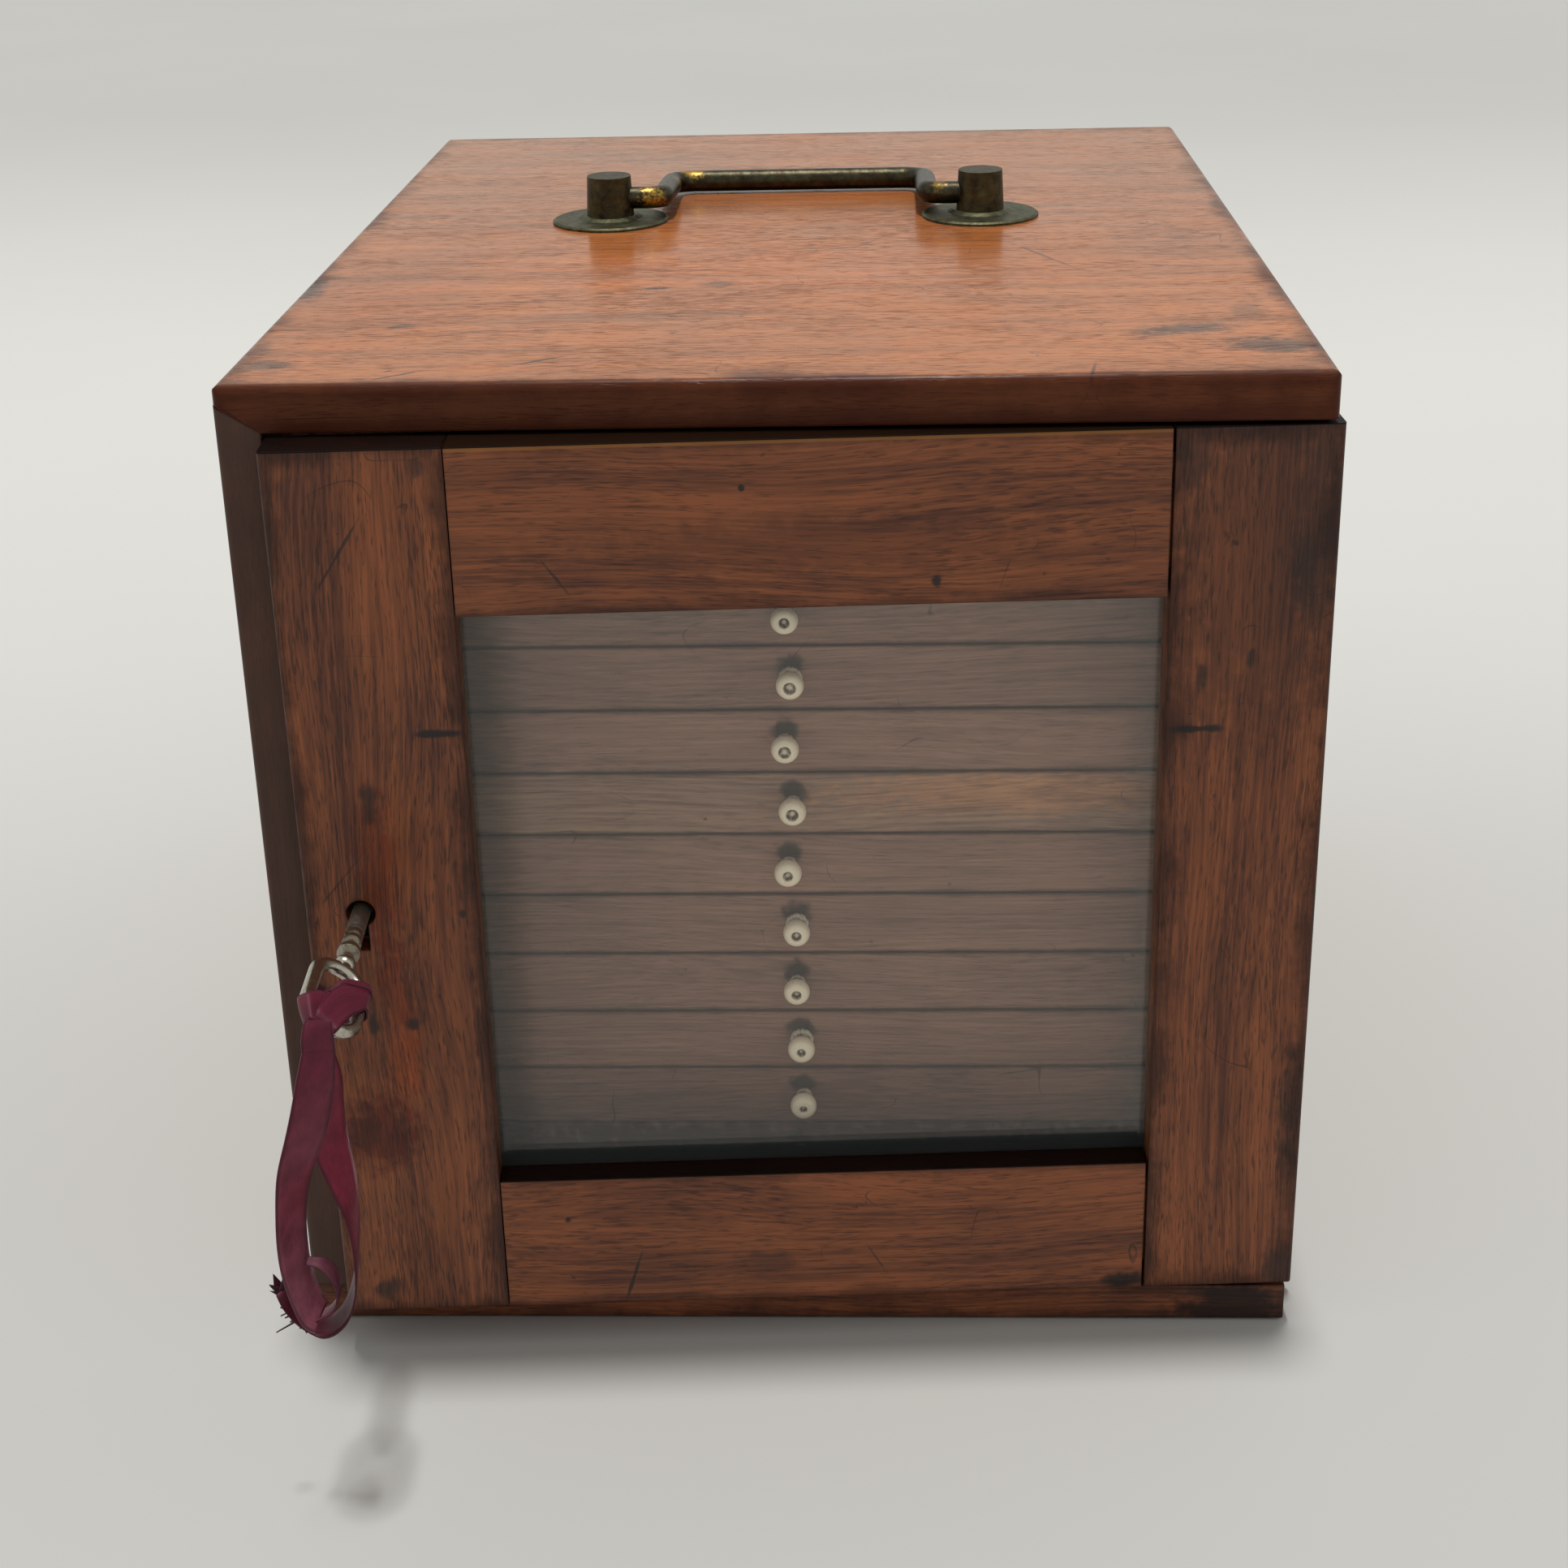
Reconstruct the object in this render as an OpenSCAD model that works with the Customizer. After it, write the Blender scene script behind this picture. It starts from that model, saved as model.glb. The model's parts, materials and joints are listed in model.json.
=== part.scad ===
// Table-top coin cabinet: a box with a glazed door, thirteen coin trays and a brass carrying handle.
// Millimetres. The origin is under the middle of the box, +Z is up and the door faces -Y.
// The door stands a little open, as it does at rest, and turns about its hinge pins.

/* [Cabinet] */
// Outside width of the box
cab_w = 240; // [220:1:300]
// Outside depth from front to back
cab_d = 310; // [260:1:360]
// Thickness of the two side boards
side_t = 10; // [8:0.5:14]
// Thickness of the top board
top_t = 10.5; // [8:0.5:14]
// Thickness of the bottom board
bottom_t = 10; // [8:0.5:14]
// Thickness of the back panel
back_t = 7; // [5:0.5:10]
// Depth of the rebate that the back panel sits in
back_rebate = 4; // [3:0.5:5]
// Radius of the worn outer edges of the boards
edge_r = 2; // [1:0.25:3]
// Radius of the two upright back corners of the case
corner_r = 5.5; // [2:0.25:6]
// Drop of the slanting joint line below the top at the left corner
joint_drop = 4.5; // [3:0.5:7]

/* [Trays] */
// Height from one tray to the next
tray_pitch = 16; // [14:0.5:20]
// Air gap between two tray fronts
tray_gap = 0.6; // [0.4:0.1:1.2]
// Air gap under the lowest tray
floor_gap = 1.5; // [1:0.25:3]
// Space above the highest tray
head_space = 10; // [8:0.5:14]
// Distance of the tray fronts behind the front of the box
tray_setback = 22; // [20:0.5:26]
// Depth of the fillet above the highest tray
head_fillet_d = 10; // [6:0.5:16]
// Thickness of a tray front
tray_front_t = 5; // [4.5:0.5:7]
// Gap between a tray front and the runners beside it
tray_side_gap = 0.4; // [0.3:0.1:1.5]
// Thickness of a tray base, whose edges run in the grooves
base_t = 3; // [2.5:0.25:4]
// Thickness of the pierced board that holds the coins
coin_board_t = 3.2; // [2.5:0.1:3.8]
// Thickness of the strip along the back of a tray
rear_t = 4; // [3:0.5:6]
// Free space behind a tray
tray_back_gap = 2.5; // [2:0.25:6]
// Recess diameter in the four lowest trays
coin_large = 38; // [34:0.5:42]
// Recess diameter in the five middle trays
coin_medium = 31; // [28:0.5:34]
// Recess diameter in the four highest trays
coin_small = 25; // [20:0.5:28]
// Wood left between two recesses
coin_land = 3; // [2:0.25:5]

/* [Runners] */
// Thickness of the grooved boards on either side of the trays
liner_t = 5.5; // [5:0.25:8]
// Depth of the grooves
groove_depth = 3; // [2:0.25:4]
// Running gap between a tray and its runners
run_gap = 0.3; // [0.2:0.05:0.5]

/* [Knobs] */
// Diameter of a tray knob
knob_d = 6.6; // [5:0.1:9]
// Length of a knob in front of its tray
knob_len = 7; // [5:0.25:8]
// Diameter of the peg that holds a knob
knob_peg_d = 3; // [2:0.25:4]
// Length of the peg in the tray front
knob_peg_len = 4; // [3:0.25:4.2]

/* [Door] */
// Thickness of the door
door_t = 12.5; // [11.5:0.25:14]
// Angle by which the door stands open at rest, in degrees
door_ajar = 3; // [3:0.25:6]
// Width of the stile with the lock
lock_stile_w = 39; // [34:0.5:46]
// Width of the stile with the hinges
hinge_stile_w = 36; // [30:0.5:44]
// Height of the top rail
top_rail_h = 38; // [30:0.5:46]
// Height of the bottom rail
bottom_rail_h = 35.5; // [30:0.5:46]
// Gap between the door and the left side board
door_side_gap = 0.7; // [0.4:0.1:1.5]
// Gap between the door and the top board
door_top_gap = 0.8; // [0.4:0.1:1.5]
// Gap between the door and the bottom board
door_bottom_gap = 1.2; // [0.4:0.1:2]
// How far the door stands out past the right side of the box
door_proud = 0.8; // [0.2:0.1:1.2]
// Depth of the wooden lip in front of the glass
lip_t = 6.8; // [5.5:0.1:7]
// Width of the rebate round the glass
rebate_w = 4; // [3:0.25:5]
// Thickness of the glass
glass_t = 2; // [1.5:0.1:2.2]
// Thickness of the bead that holds the glass
bead_t = 3; // [2:0.25:3.2]
// Length of the tenons on the rails
tenon_len = 16; // [10:0.5:20]
// Thickness of the tenons
tenon_t = 4; // [3:0.25:5]
// Open joint between the rails and the hinge stile
shrink_gap = 0.7; // [0.2:0.1:1]
// Open joint between the rails and the lock stile
joint_gap = 0.3; // [0.1:0.1:0.6]

/* [Hinges] */
// Height of a hinge
hinge_h = 26; // [20:0.5:34]
// Distance of a hinge from the end of the door
hinge_inset = 3; // [2:0.5:12]
// Width of a hinge leaf from the pin
leaf_w = 8; // [7:0.25:9]
// Thickness of a hinge leaf
leaf_t = 1.1; // [0.9:0.1:1.4]
// Radius of the hinge barrel
barrel_r = 2; // [1.7:0.1:2.2]
// Radius of the hinge pin
pin_r = 0.85; // [0.7:0.05:1]
// Distance of the pin outside the edge of the door
pin_out = 0.6; // [0.4:0.1:0.9]
// Gap between the door and the edge of the right side board
hinge_gap = 0.25; // [0.2:0.05:0.5]

/* [Lock] */
// Distance of the key from the left edge of the door
key_inset = 12.5; // [11.5:0.25:14]
// Height of the key above the table
key_z = 119.5; // [100:0.5:140]
// Diameter of the round part of the keyhole
keyhole_d = 6.7; // [6:0.1:8]
// Height of the whole keyhole
keyhole_h = 12.9; // [12:0.1:14]
// Width of the keyhole's slot
keyhole_slot_w = 3; // [2.5:0.1:4]
// Width of the lock case
lock_w = 24; // [22:0.5:28]
// Thickness of the lock case
lock_t = 6; // [5.5:0.1:6]
// Thickness of the lock's plates
lock_plate_t = 0.9; // [0.7:0.05:1]
// Width of the flange beside the lock case
lock_flange = 5; // [4.5:0.25:6]
// Height of the bolt
bolt_h = 5; // [4:0.25:6]
// Length of the bolt
bolt_len = 19.5; // [17:0.5:21]
// Travel of the bolt
bolt_throw = 5; // [4:0.25:6]
// Gap round the bolt
bolt_gap = 0.1; // [0.1:0.02:0.2]
// Width of the strike plate
strike_w = 10; // [9:0.25:12]
// Height of the strike plate
strike_h = 26; // [24:0.5:32]
// Thickness of the strike plate
strike_t = 1; // [0.8:0.1:1.4]

/* [Key] */
// Diameter of the key's shank
shank_d = 4.2; // [3.6:0.1:4.6]
// Length of the shank in front of the door
shank_out = 25; // [20:0.5:28]
// Length of the thick part of the shank in front of the door
barrel_out = 9; // [7:0.5:12]
// Diameter of the turned neck before the bow
neck_d = 3.2; // [2.6:0.1:3.8]
// Width of the bow
bow_w = 15; // [12:0.25:17]
// Length of the bow
bow_len = 26; // [20:0.5:30]
// Turn of the resting bow about the key's axis, its right side down
bow_turn = 40; // [0:5:50]
// Thickness of the bow's ring
bow_bar_d = 3.2; // [2.6:0.1:3.6]
// Length of the bit from the key's axis
bit_len = 6.2; // [5.5:0.1:6.5]
// Width of the bit along the key
bit_w = 3; // [2:0.1:3.2]
// Thickness of the bit
bit_t = 1.8; // [1.2:0.1:2]

/* [Handle] */
// Distance between the two handle posts
handle_span = 102; // [90:1:120]
// Distance of the handle behind the middle of the top
handle_back = 14; // [-20:1:40]
// Diameter of the round plates under the posts
rose_d = 32; // [26:0.5:36]
// Thickness of the plates at their rim
rose_rim_t = 1; // [0.8:0.1:1.4]
// Thickness of the plates at the post
rose_hub_t = 2; // [1.6:0.1:2.6]
// Diameter of a post at its top
post_d = 12; // [11:0.25:14]
// Height of a post above the top board
post_h = 12.6; // [11.5:0.1:16]
// Diameter of the bail's rod
rod_d = 6; // [5:0.1:6.4]
// Height of the bail's pivot above the top board
pivot_h = 6.4; // [6.2:0.1:7]
// Distance of the grip from the pivot
bail_drop = 40; // [30:1:50]
// Half length of the straight grip
grip_half = 29.5; // [24:0.5:32]
// Bend radius where the arm turns into the grip
grip_bend_r = 7; // [6:0.5:9]
// Bend radius where the arm turns into the pivot
pivot_bend_r = 4.5; // [4:0.25:5]
// Gap between the resting grip and the top board
grip_rest_gap = 0.3; // [0.2:0.05:0.6]
// Diameter of the stud under a post
stud_d = 4.4; // [4:0.1:5]
// Thickness of the nut on a stud
nut_t = 3; // [2:0.25:4]
// Width of the nut across its flats
nut_w = 9; // [8:0.25:11]

/* [Ribbon] */
// Width of the ribbon
ribbon_w = 9.6; // [8:0.2:11]
// Thickness of the ribbon
ribbon_t = 0.6; // [0.4:0.1:0.8]
// Thickness of the ribbon's loop round the bow
loop_t = 1.5; // [1:0.1:1.6]

/* [Hidden] */
$fn = 48;

mahogany = "#8a4f2e";
dark_mahogany = "#5a3122";
tray_wood = "#7a4a33";
brass = "#7c6a3a";
steel = "#8a867c";
bone = "#e0d6b4";
glass_grey = "#9fb0ad";
burgundy = "#6b2440";

tray_count = 13;
half_w = cab_w / 2;
front_y = -cab_d / 2;
back_y = cab_d / 2;
inner_x = half_w - side_t;
first_tray_z = bottom_t + floor_gap;
roof_z = first_tray_z + tray_count * tray_pitch + head_space;
cab_h = roof_z + top_t;
panel_y = back_y - back_t;
cut = 1;       // how far a cutting shape runs past the face it cuts
fit = 0.03;    // gap round a screw, peg or stud in its hole
back_screw = [1.8, 0.9, 16];     // head radius, shaft radius and length of each kind of screw
strike_screw = [1.5, 0.8, 6];
frame_screw = [1.6, 0.8, 8];
door_screw = [1.6, 0.8, 7];
lock_screw = [1.4, 0.7, 6];
back_screw_share = [0.1, 0.37, 0.63, 0.89];   // their heights as shares of the box's height

tray_y = front_y + tray_setback;
tray_end_y = panel_y - tray_back_gap;
tray_front_h = tray_pitch - tray_gap;
liner_x = inner_x - liner_t;
liner_y = tray_y + 0.5;
front_half = liner_x - tray_side_gap;
base_half = liner_x + groove_depth - run_gap;
coin_board_half = liner_x - run_gap;
function tray_z(i) = first_tray_z + i * tray_pitch;
function knob_z(i) = tray_z(i) + tray_front_h / 2;
function coin_d(i) = i < 4 ? coin_large : i < 9 ? coin_medium : coin_small;
// Sideways place of each knob from the lowest tray to the highest, as its maker set them by eye
knob_x = [2.2, 1.4, 2.6, 2.4, 1.6, 1.9, 0.2, 1.6, 0.2, 1.7, 0.8, 1.5, 1.2];

door_x0 = -inner_x + door_side_gap;
door_x1 = half_w + door_proud;
door_z0 = bottom_t + door_bottom_gap;
door_z1 = roof_z - door_top_gap;
door_back_y = front_y + door_t;
frame_y = door_back_y + hinge_gap;
window_x0 = door_x0 + lock_stile_w;
window_x1 = door_x1 - hinge_stile_w;
window_z0 = door_z0 + bottom_rail_h;
window_z1 = door_z1 - top_rail_h;
lip_y = front_y + lip_t;
bead_w = rebate_w - 0.4;
tenon_y = front_y + 2.6;
tenon_margin = 6;
pane_gap = 0.4;

pin_x = door_x1 + pin_out;
pin_y = door_back_y + hinge_gap / 2;
barrel_gap = 0.25;
knuckle_gap = 0.2;
knuckle_bore_r = pin_r + 0.05;
hinge_z = [door_z0 + hinge_inset + hinge_h / 2, door_z1 - hinge_inset - hinge_h / 2];
leaf_screw_x = pin_x - 5.3;
leaf_screw_dz = hinge_h / 2 - 5;

key_x = door_x0 + key_inset;
lock_x0 = door_x0 + 0.2;
lock_back_y = door_back_y - 0.3;
lock_front_y = lock_back_y - lock_t;
cavity_y0 = lock_front_y + lock_plate_t;
cavity_y1 = lock_back_y - lock_plate_t;
bit_swing = bit_len + 0.8;
bolt_z0 = key_z + bit_swing;
bolt_z1 = bolt_z0 + bolt_h;
cavity_z0 = key_z - bit_swing - 1;
cavity_z1 = bolt_z1 + bolt_gap;
lock_z0 = cavity_z0 - lock_plate_t;
lock_z1 = cavity_z1 + lock_plate_t;
lock_seat = 0.1;
bolt_y0 = cavity_y0 + bolt_gap;
bolt_y1 = cavity_y1 - bolt_gap;
strike_z = (bolt_z0 + bolt_z1) / 2;
strike_y = (bolt_y0 + bolt_y1) / 2;
strike_hole_gap = 0.5;
mortise_depth = bolt_throw + 2;

shank_r = shank_d / 2;
bow_bar_r = bow_bar_d / 2;
bow_r = bow_w / 2 - bow_bar_r;
bow_straight = bow_len - bow_w;
bow_mid = shank_out + bow_len / 2;
knot_out = shank_out + bow_len - bow_bar_r;
bit_out = -(cavity_y0 - front_y) - 0.5;
neck_r = neck_d / 2;
collars = [[0.43, 0.5], [0.54, 0.6], [0.73, 1]];   // places as shares of the shank's length, and heights
collar_t = 1.4;

top_z = cab_h;
handle_x = handle_span / 2;
handle_y = handle_back;
rod_r = rod_d / 2;
pivot_z = top_z + pivot_h;
arm_x = grip_half + grip_bend_r;
socket_depth = 7;
socket_gap = 0.05;
stub_end_x = handle_x - post_d / 2 + socket_depth - 0.2;
rest_tilt = asin((pivot_h - rod_r - grip_rest_gap) / bail_drop);
stud_len = top_t + nut_t + 1.5;

// A block between two opposite corners
module block(from, to) {
    translate(from)
        cube(to - from);
}

// Cuts the sharp corner off an edge that runs along +X, with its outer faces at +Y and +Z
module edge_cutter(length, r) {
    translate([0, -r, -r])
        difference() {
            translate([-cut, 0, 0])
                cube([length + 2 * cut, r + cut, r + cut]);
            translate([-2 * cut, 0, 0])
                rotate([0, 90, 0])
                    cylinder(r = r, h = length + 4 * cut);
        }
}

// Rounds the four edges round the top of a board, given its corners
module top_edges_cutter(from, to, r) {
    size = to - from;
    translate([from.x, to.y, to.z])
        edge_cutter(size.x, r);
    translate([to.x, from.y, to.z])
        rotate([0, 0, 180])
            edge_cutter(size.x, r);
    translate([from.x, from.y, to.z])
        rotate([0, 0, 90])
            edge_cutter(size.y, r);
    translate([to.x, to.y, to.z])
        rotate([0, 0, -90])
            edge_cutter(size.y, r);
}

// Rounds a vertical edge at x, y; turn 0 is an outer corner facing +X and -Y, each 90 goes on anticlockwise
module upright_edge_cutter(x, y, z0, z1, r, turn) {
    translate([x, y, z0])
        rotate([0, 0, turn])
            rotate([0, -90, 0])
                mirror([0, 1, 0])
                    mirror([0, 0, 1])
                        edge_cutter(z1 - z0, r);
}

// A board's end outline in X and Z, carried from the front of the box to the back
module carried_back(outline) {
    translate([0, back_y, 0])
        rotate([90, 0, 0])
            linear_extrude(height = cab_d)
                polygon(outline);
}

// A countersunk screw, its head flush at z = 0 and its point down; grow widens it into its hole
module screw(sizes, grow = 0) {
    head_r = sizes[0];
    shaft_r = sizes[1];
    length = sizes[2];
    head_h = head_r - shaft_r;
    difference() {
        union() {
            translate([0, 0, -head_h])
                cylinder(r1 = shaft_r + grow, r2 = head_r + grow, h = head_h);
            translate([0, 0, -length - grow])
                cylinder(r = shaft_r + grow, h = length + grow);
            if (grow > 0)
                cylinder(r = head_r + grow, h = cut);
        }
        if (grow == 0)
            translate([-head_r - cut, -0.2, -0.4])
                cube([2 * (head_r + cut), 0.4, 2]);
    }
}

// Puts a closed-door shape where the door stands at rest
module on_door() {
    translate([pin_x, pin_y, 0])
        rotate([0, 0, door_ajar])
            translate([-pin_x, -pin_y, 0])
                children();
}

// Puts a shape on the key's axis: z runs out of the door, x to the right and y up
module on_key() {
    on_door()
        translate([key_x, front_y, key_z])
            rotate([90, 0, 0])
                children();
}

module top_board() {
    color(mahogany)
        difference() {
            carried_back([[-half_w, top_z - joint_drop], [-inner_x, roof_z], [half_w, roof_z],
                [half_w, top_z], [-half_w, top_z]]);
            top_edges_cutter([-half_w, front_y, roof_z], [half_w, back_y, top_z], edge_r);
            upright_edge_cutter(-half_w, front_y, bottom_t, top_z, edge_r, -90);
            upright_edge_cutter(half_w, front_y, bottom_t, top_z, edge_r, 0);
            upright_edge_cutter(-half_w, back_y, bottom_t, top_z, corner_r, 180);
            upright_edge_cutter(half_w, back_y, bottom_t, top_z, corner_r, 90);
            for (side = [-1, 1])
                translate([side * handle_x, handle_y, roof_z - cut])
                    cylinder(d = stud_d + 2 * fit, h = top_t + 2 * cut);
        }
}

module bottom_board() {
    color(dark_mahogany)
        difference() {
            block([-half_w, front_y, 0], [half_w, back_y, bottom_t]);
            mirror([0, 0, 1])
                top_edges_cutter([-half_w, front_y, -bottom_t], [half_w, back_y, 0], edge_r / 2);
            upright_edge_cutter(-half_w, back_y, 0, bottom_t, corner_r, 180);
            upright_edge_cutter(half_w, back_y, 0, bottom_t, corner_r, 90);
        }
}

// The room in a side board for the back panel; side is -1 on the left and 1 on the right
module back_rebate_cutter(side) {
    translate([side > 0 ? inner_x - cut : -inner_x - back_rebate, panel_y, bottom_t])
        cube([back_rebate + cut, back_t + cut, roof_z - bottom_t]);
}

module back_screw_places() {
    for (side = [-1, 1])
        for (share = back_screw_share)
            translate([side * (inner_x + back_rebate / 2), back_y, share * cab_h])
                rotate([-90, 0, 0])
                    children();
}

module left_side() {
    color(dark_mahogany)
        difference() {
            carried_back([[-half_w, bottom_t], [-inner_x, bottom_t], [-inner_x, roof_z],
                [-half_w, top_z - joint_drop]]);
            back_rebate_cutter(-1);
            upright_edge_cutter(-half_w, front_y, bottom_t, top_z, edge_r * 0.75, -90);
            upright_edge_cutter(-half_w, back_y, bottom_t, top_z, corner_r, 180);
            block([-inner_x - strike_t, strike_y - strike_w / 2, strike_z - strike_h / 2],
                [-inner_x + cut, strike_y + strike_w / 2, strike_z + strike_h / 2]);
            bolt_mortise();
            strike_screw_places()
                screw(strike_screw, fit);
            back_screw_places()
                screw(back_screw, fit);
        }
}

module right_side() {
    color(mahogany)
        difference() {
            block([inner_x, frame_y, bottom_t], [half_w, back_y, roof_z]);
            back_rebate_cutter(1);
            upright_edge_cutter(half_w, back_y, bottom_t, roof_z, corner_r, 90);
            for (z = hinge_z) {
                block([pin_x - leaf_w, frame_y - cut, z - hinge_h / 2],
                    [half_w + cut, frame_y + leaf_t, z + hinge_h / 2]);
                barrel_clearance(z);
            }
            frame_screw_places()
                screw(frame_screw, fit);
            back_screw_places()
                screw(back_screw, fit);
        }
}

module back_panel() {
    color(dark_mahogany)
        difference() {
            block([-inner_x - back_rebate, panel_y, bottom_t], [inner_x + back_rebate, back_y, roof_z]);
            back_screw_places()
                screw(back_screw, fit);
        }
}

module back_screws() {
    color(steel)
        back_screw_places()
            screw(back_screw);
}

// One grooved board, for the left side with side -1 and the right with side 1
module liner(side) {
    groove_x0 = liner_x - cut;
    groove_x1 = liner_x + groove_depth;
    difference() {
        block([min(side * liner_x, side * inner_x), liner_y, bottom_t],
            [max(side * liner_x, side * inner_x), panel_y, roof_z]);
        for (i = [0 : tray_count - 1])
            block([min(side * groove_x0, side * groove_x1), liner_y - cut, tray_z(i) - run_gap],
                [max(side * groove_x0, side * groove_x1), panel_y + cut, tray_z(i) + base_t + run_gap]);
    }
}

module left_liner() {
    color(tray_wood)
        liner(-1);
}

module right_liner() {
    color(tray_wood)
        liner(1);
}

module head_fillet() {
    color(tray_wood)
        block([-liner_x, tray_y + 0.3, tray_z(tray_count)], [liner_x, tray_y + head_fillet_d, roof_z]);
}

module tray(i) {
    pitch = coin_d(i) + coin_land;
    board_y0 = tray_y + tray_front_t;
    board_y1 = tray_end_y - rear_t;
    columns = floor((2 * coin_board_half - coin_land) / pitch);
    rows = floor((board_y1 - board_y0 - coin_land) / pitch);
    step_y = (board_y1 - board_y0 - coin_land) / rows;
    step_x = (2 * coin_board_half - coin_land) / columns;
    color(tray_wood) {
        difference() {
            block([-front_half, tray_y, tray_z(i)],
                [front_half, tray_y + tray_front_t, tray_z(i) + tray_front_h]);
            knob_place(i)
                translate([0, 0, -knob_peg_len - fit])
                    cylinder(d = knob_peg_d + 2 * fit, h = knob_peg_len + cut);
        }
        block([-base_half, board_y0, tray_z(i)], [base_half, tray_end_y, tray_z(i) + base_t]);
        translate([0, 0, tray_z(i) + base_t])
            linear_extrude(height = coin_board_t)
                difference() {
                    translate([-coin_board_half, board_y0])
                        square([2 * coin_board_half, board_y1 - board_y0]);
                    for (c = [0 : columns - 1])
                        for (r = [0 : rows - 1])
                            translate([(c + 0.5 - columns / 2) * step_x,
                                board_y0 + coin_land / 2 + (r + 0.5) * step_y])
                                circle(d = coin_d(i));
                }
        block([-coin_board_half, board_y1, tray_z(i) + base_t],
            [coin_board_half, tray_end_y, tray_z(i) + base_t + coin_board_t + 3]);
    }
}

// Puts a knob on its tray, with z out of the tray front
module knob_place(i) {
    translate([knob_x[i], tray_y, knob_z(i)])
        rotate([90, 0, 0])
            children();
}

module knob(i) {
    r = knob_d / 2;
    color(bone)
        knob_place(i)
            rotate_extrude()
                polygon([[0, -knob_peg_len], [knob_peg_d / 2, -knob_peg_len], [knob_peg_d / 2, 0],
                    [r * 0.62, 0], [r * 0.5, knob_len * 0.2], [r * 0.55, knob_len * 0.4],
                    [r * 0.95, knob_len * 0.58], [r, knob_len * 0.75], [r * 0.88, knob_len * 0.93],
                    [r * 0.6, knob_len], [r * 0.34, knob_len * 0.97], [r * 0.22, knob_len * 0.84],
                    [0, knob_len * 0.82]]);
}

// The rebate for the glass and its beads, cut from the back of the door
module glass_rebate() {
    block([window_x0 - rebate_w, lip_y, window_z0 - rebate_w],
        [window_x1 + rebate_w, door_back_y + cut, window_z1 + rebate_w]);
}

// The tenons of one rail between z0 and z1; grow widens them into their mortises
module tenons(z0, z1, grow = 0) {
    block([window_x0 - tenon_len - grow, tenon_y - grow, z0 + tenon_margin - grow],
        [window_x0 + joint_gap, tenon_y + tenon_t + grow, z1 - tenon_margin + grow]);
    block([window_x1 - shrink_gap, tenon_y - grow, z0 + tenon_margin - grow],
        [window_x1 + tenon_len + grow, tenon_y + tenon_t + grow, z1 - tenon_margin + grow]);
}

module mortises() {
    tenons(door_z0, window_z0, 0.1);
    tenons(window_z1, door_z1, 0.1);
}

module lock_stile() {
    color(mahogany)
        on_door()
            difference() {
                block([door_x0, front_y, door_z0], [window_x0, door_back_y, door_z1]);
                glass_rebate();
                mortises();
                upright_edge_cutter(door_x0, front_y, door_z0, door_z1, edge_r / 2, -90);
                block([door_x0 - cut, lock_front_y - lock_seat, lock_z0 - lock_seat],
                    [lock_x0 + lock_w + lock_seat, door_back_y + cut, lock_z1 + lock_seat]);
                block([door_x0 - cut, cavity_y1 - lock_seat, lock_z0 - 2 - lock_seat],
                    [lock_x0 + lock_w + lock_flange + lock_seat, door_back_y + cut, lock_z1 + 2 + lock_seat]);
                keyhole_cutter(keyhole_d / 2, keyhole_slot_w, keyhole_h - keyhole_d / 2,
                    front_y - cut, lock_front_y);
                lock_screw_places()
                    screw(lock_screw, fit);
            }
}

module hinge_stile() {
    color(mahogany)
        on_door()
            difference() {
                block([window_x1, front_y, door_z0], [door_x1, door_back_y, door_z1]);
                glass_rebate();
                mortises();
                upright_edge_cutter(door_x1, front_y, door_z0, door_z1, edge_r / 2, 0);
                for (z = hinge_z) {
                    block([pin_x - leaf_w, door_back_y - leaf_t, z - hinge_h / 2],
                        [door_x1 + cut, door_back_y + cut, z + hinge_h / 2]);
                    barrel_clearance(z);
                }
                door_screw_places()
                    screw(door_screw, fit);
            }
}

// One rail between z0 and z1 with its tenons
module rail(z0, z1) {
    difference() {
        union() {
            block([window_x0 + joint_gap, front_y, z0], [window_x1 - shrink_gap, door_back_y, z1]);
            tenons(z0, z1);
        }
        glass_rebate();
    }
}

module top_rail() {
    color(mahogany)
        on_door()
            rail(window_z1, door_z1);
}

module bottom_rail() {
    color(mahogany)
        on_door()
            rail(door_z0, window_z0);
}

module glass_pane() {
    reach = rebate_w - pane_gap;
    color(glass_grey, 0.35)
        on_door()
            block([window_x0 - reach, lip_y, window_z0 - reach],
                [window_x1 + reach, lip_y + glass_t, window_z1 + reach]);
}

// The bead runs round the rebate behind the glass
module glass_beads() {
    bead_y0 = lip_y + glass_t;
    bead_y1 = bead_y0 + bead_t;
    color(tray_wood)
        on_door()
            difference() {
                block([window_x0 - rebate_w, bead_y0, window_z0 - rebate_w],
                    [window_x1 + rebate_w, bead_y1, window_z1 + rebate_w]);
                block([window_x0 - rebate_w + bead_w, bead_y0 - cut, window_z0 - rebate_w + bead_w],
                    [window_x1 + rebate_w - bead_w, bead_y1 + cut, window_z1 + rebate_w - bead_w]);
            }
}

module barrel_clearance(z) {
    translate([pin_x, pin_y, z - hinge_h / 2 - 1.5])
        cylinder(r = barrel_r + barrel_gap, h = hinge_h + 3);
}

module knuckle(z0, z1) {
    translate([pin_x, pin_y, z0])
        difference() {
            cylinder(r = barrel_r, h = z1 - z0);
            translate([0, 0, -cut])
                cylinder(r = knuckle_bore_r, h = z1 - z0 + 2 * cut);
        }
}

module frame_screw_places() {
    for (z = hinge_z)
        for (dz = [-leaf_screw_dz, leaf_screw_dz])
            translate([leaf_screw_x, frame_y, z + dz])
                rotate([90, 0, 0])
                    children();
}

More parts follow.
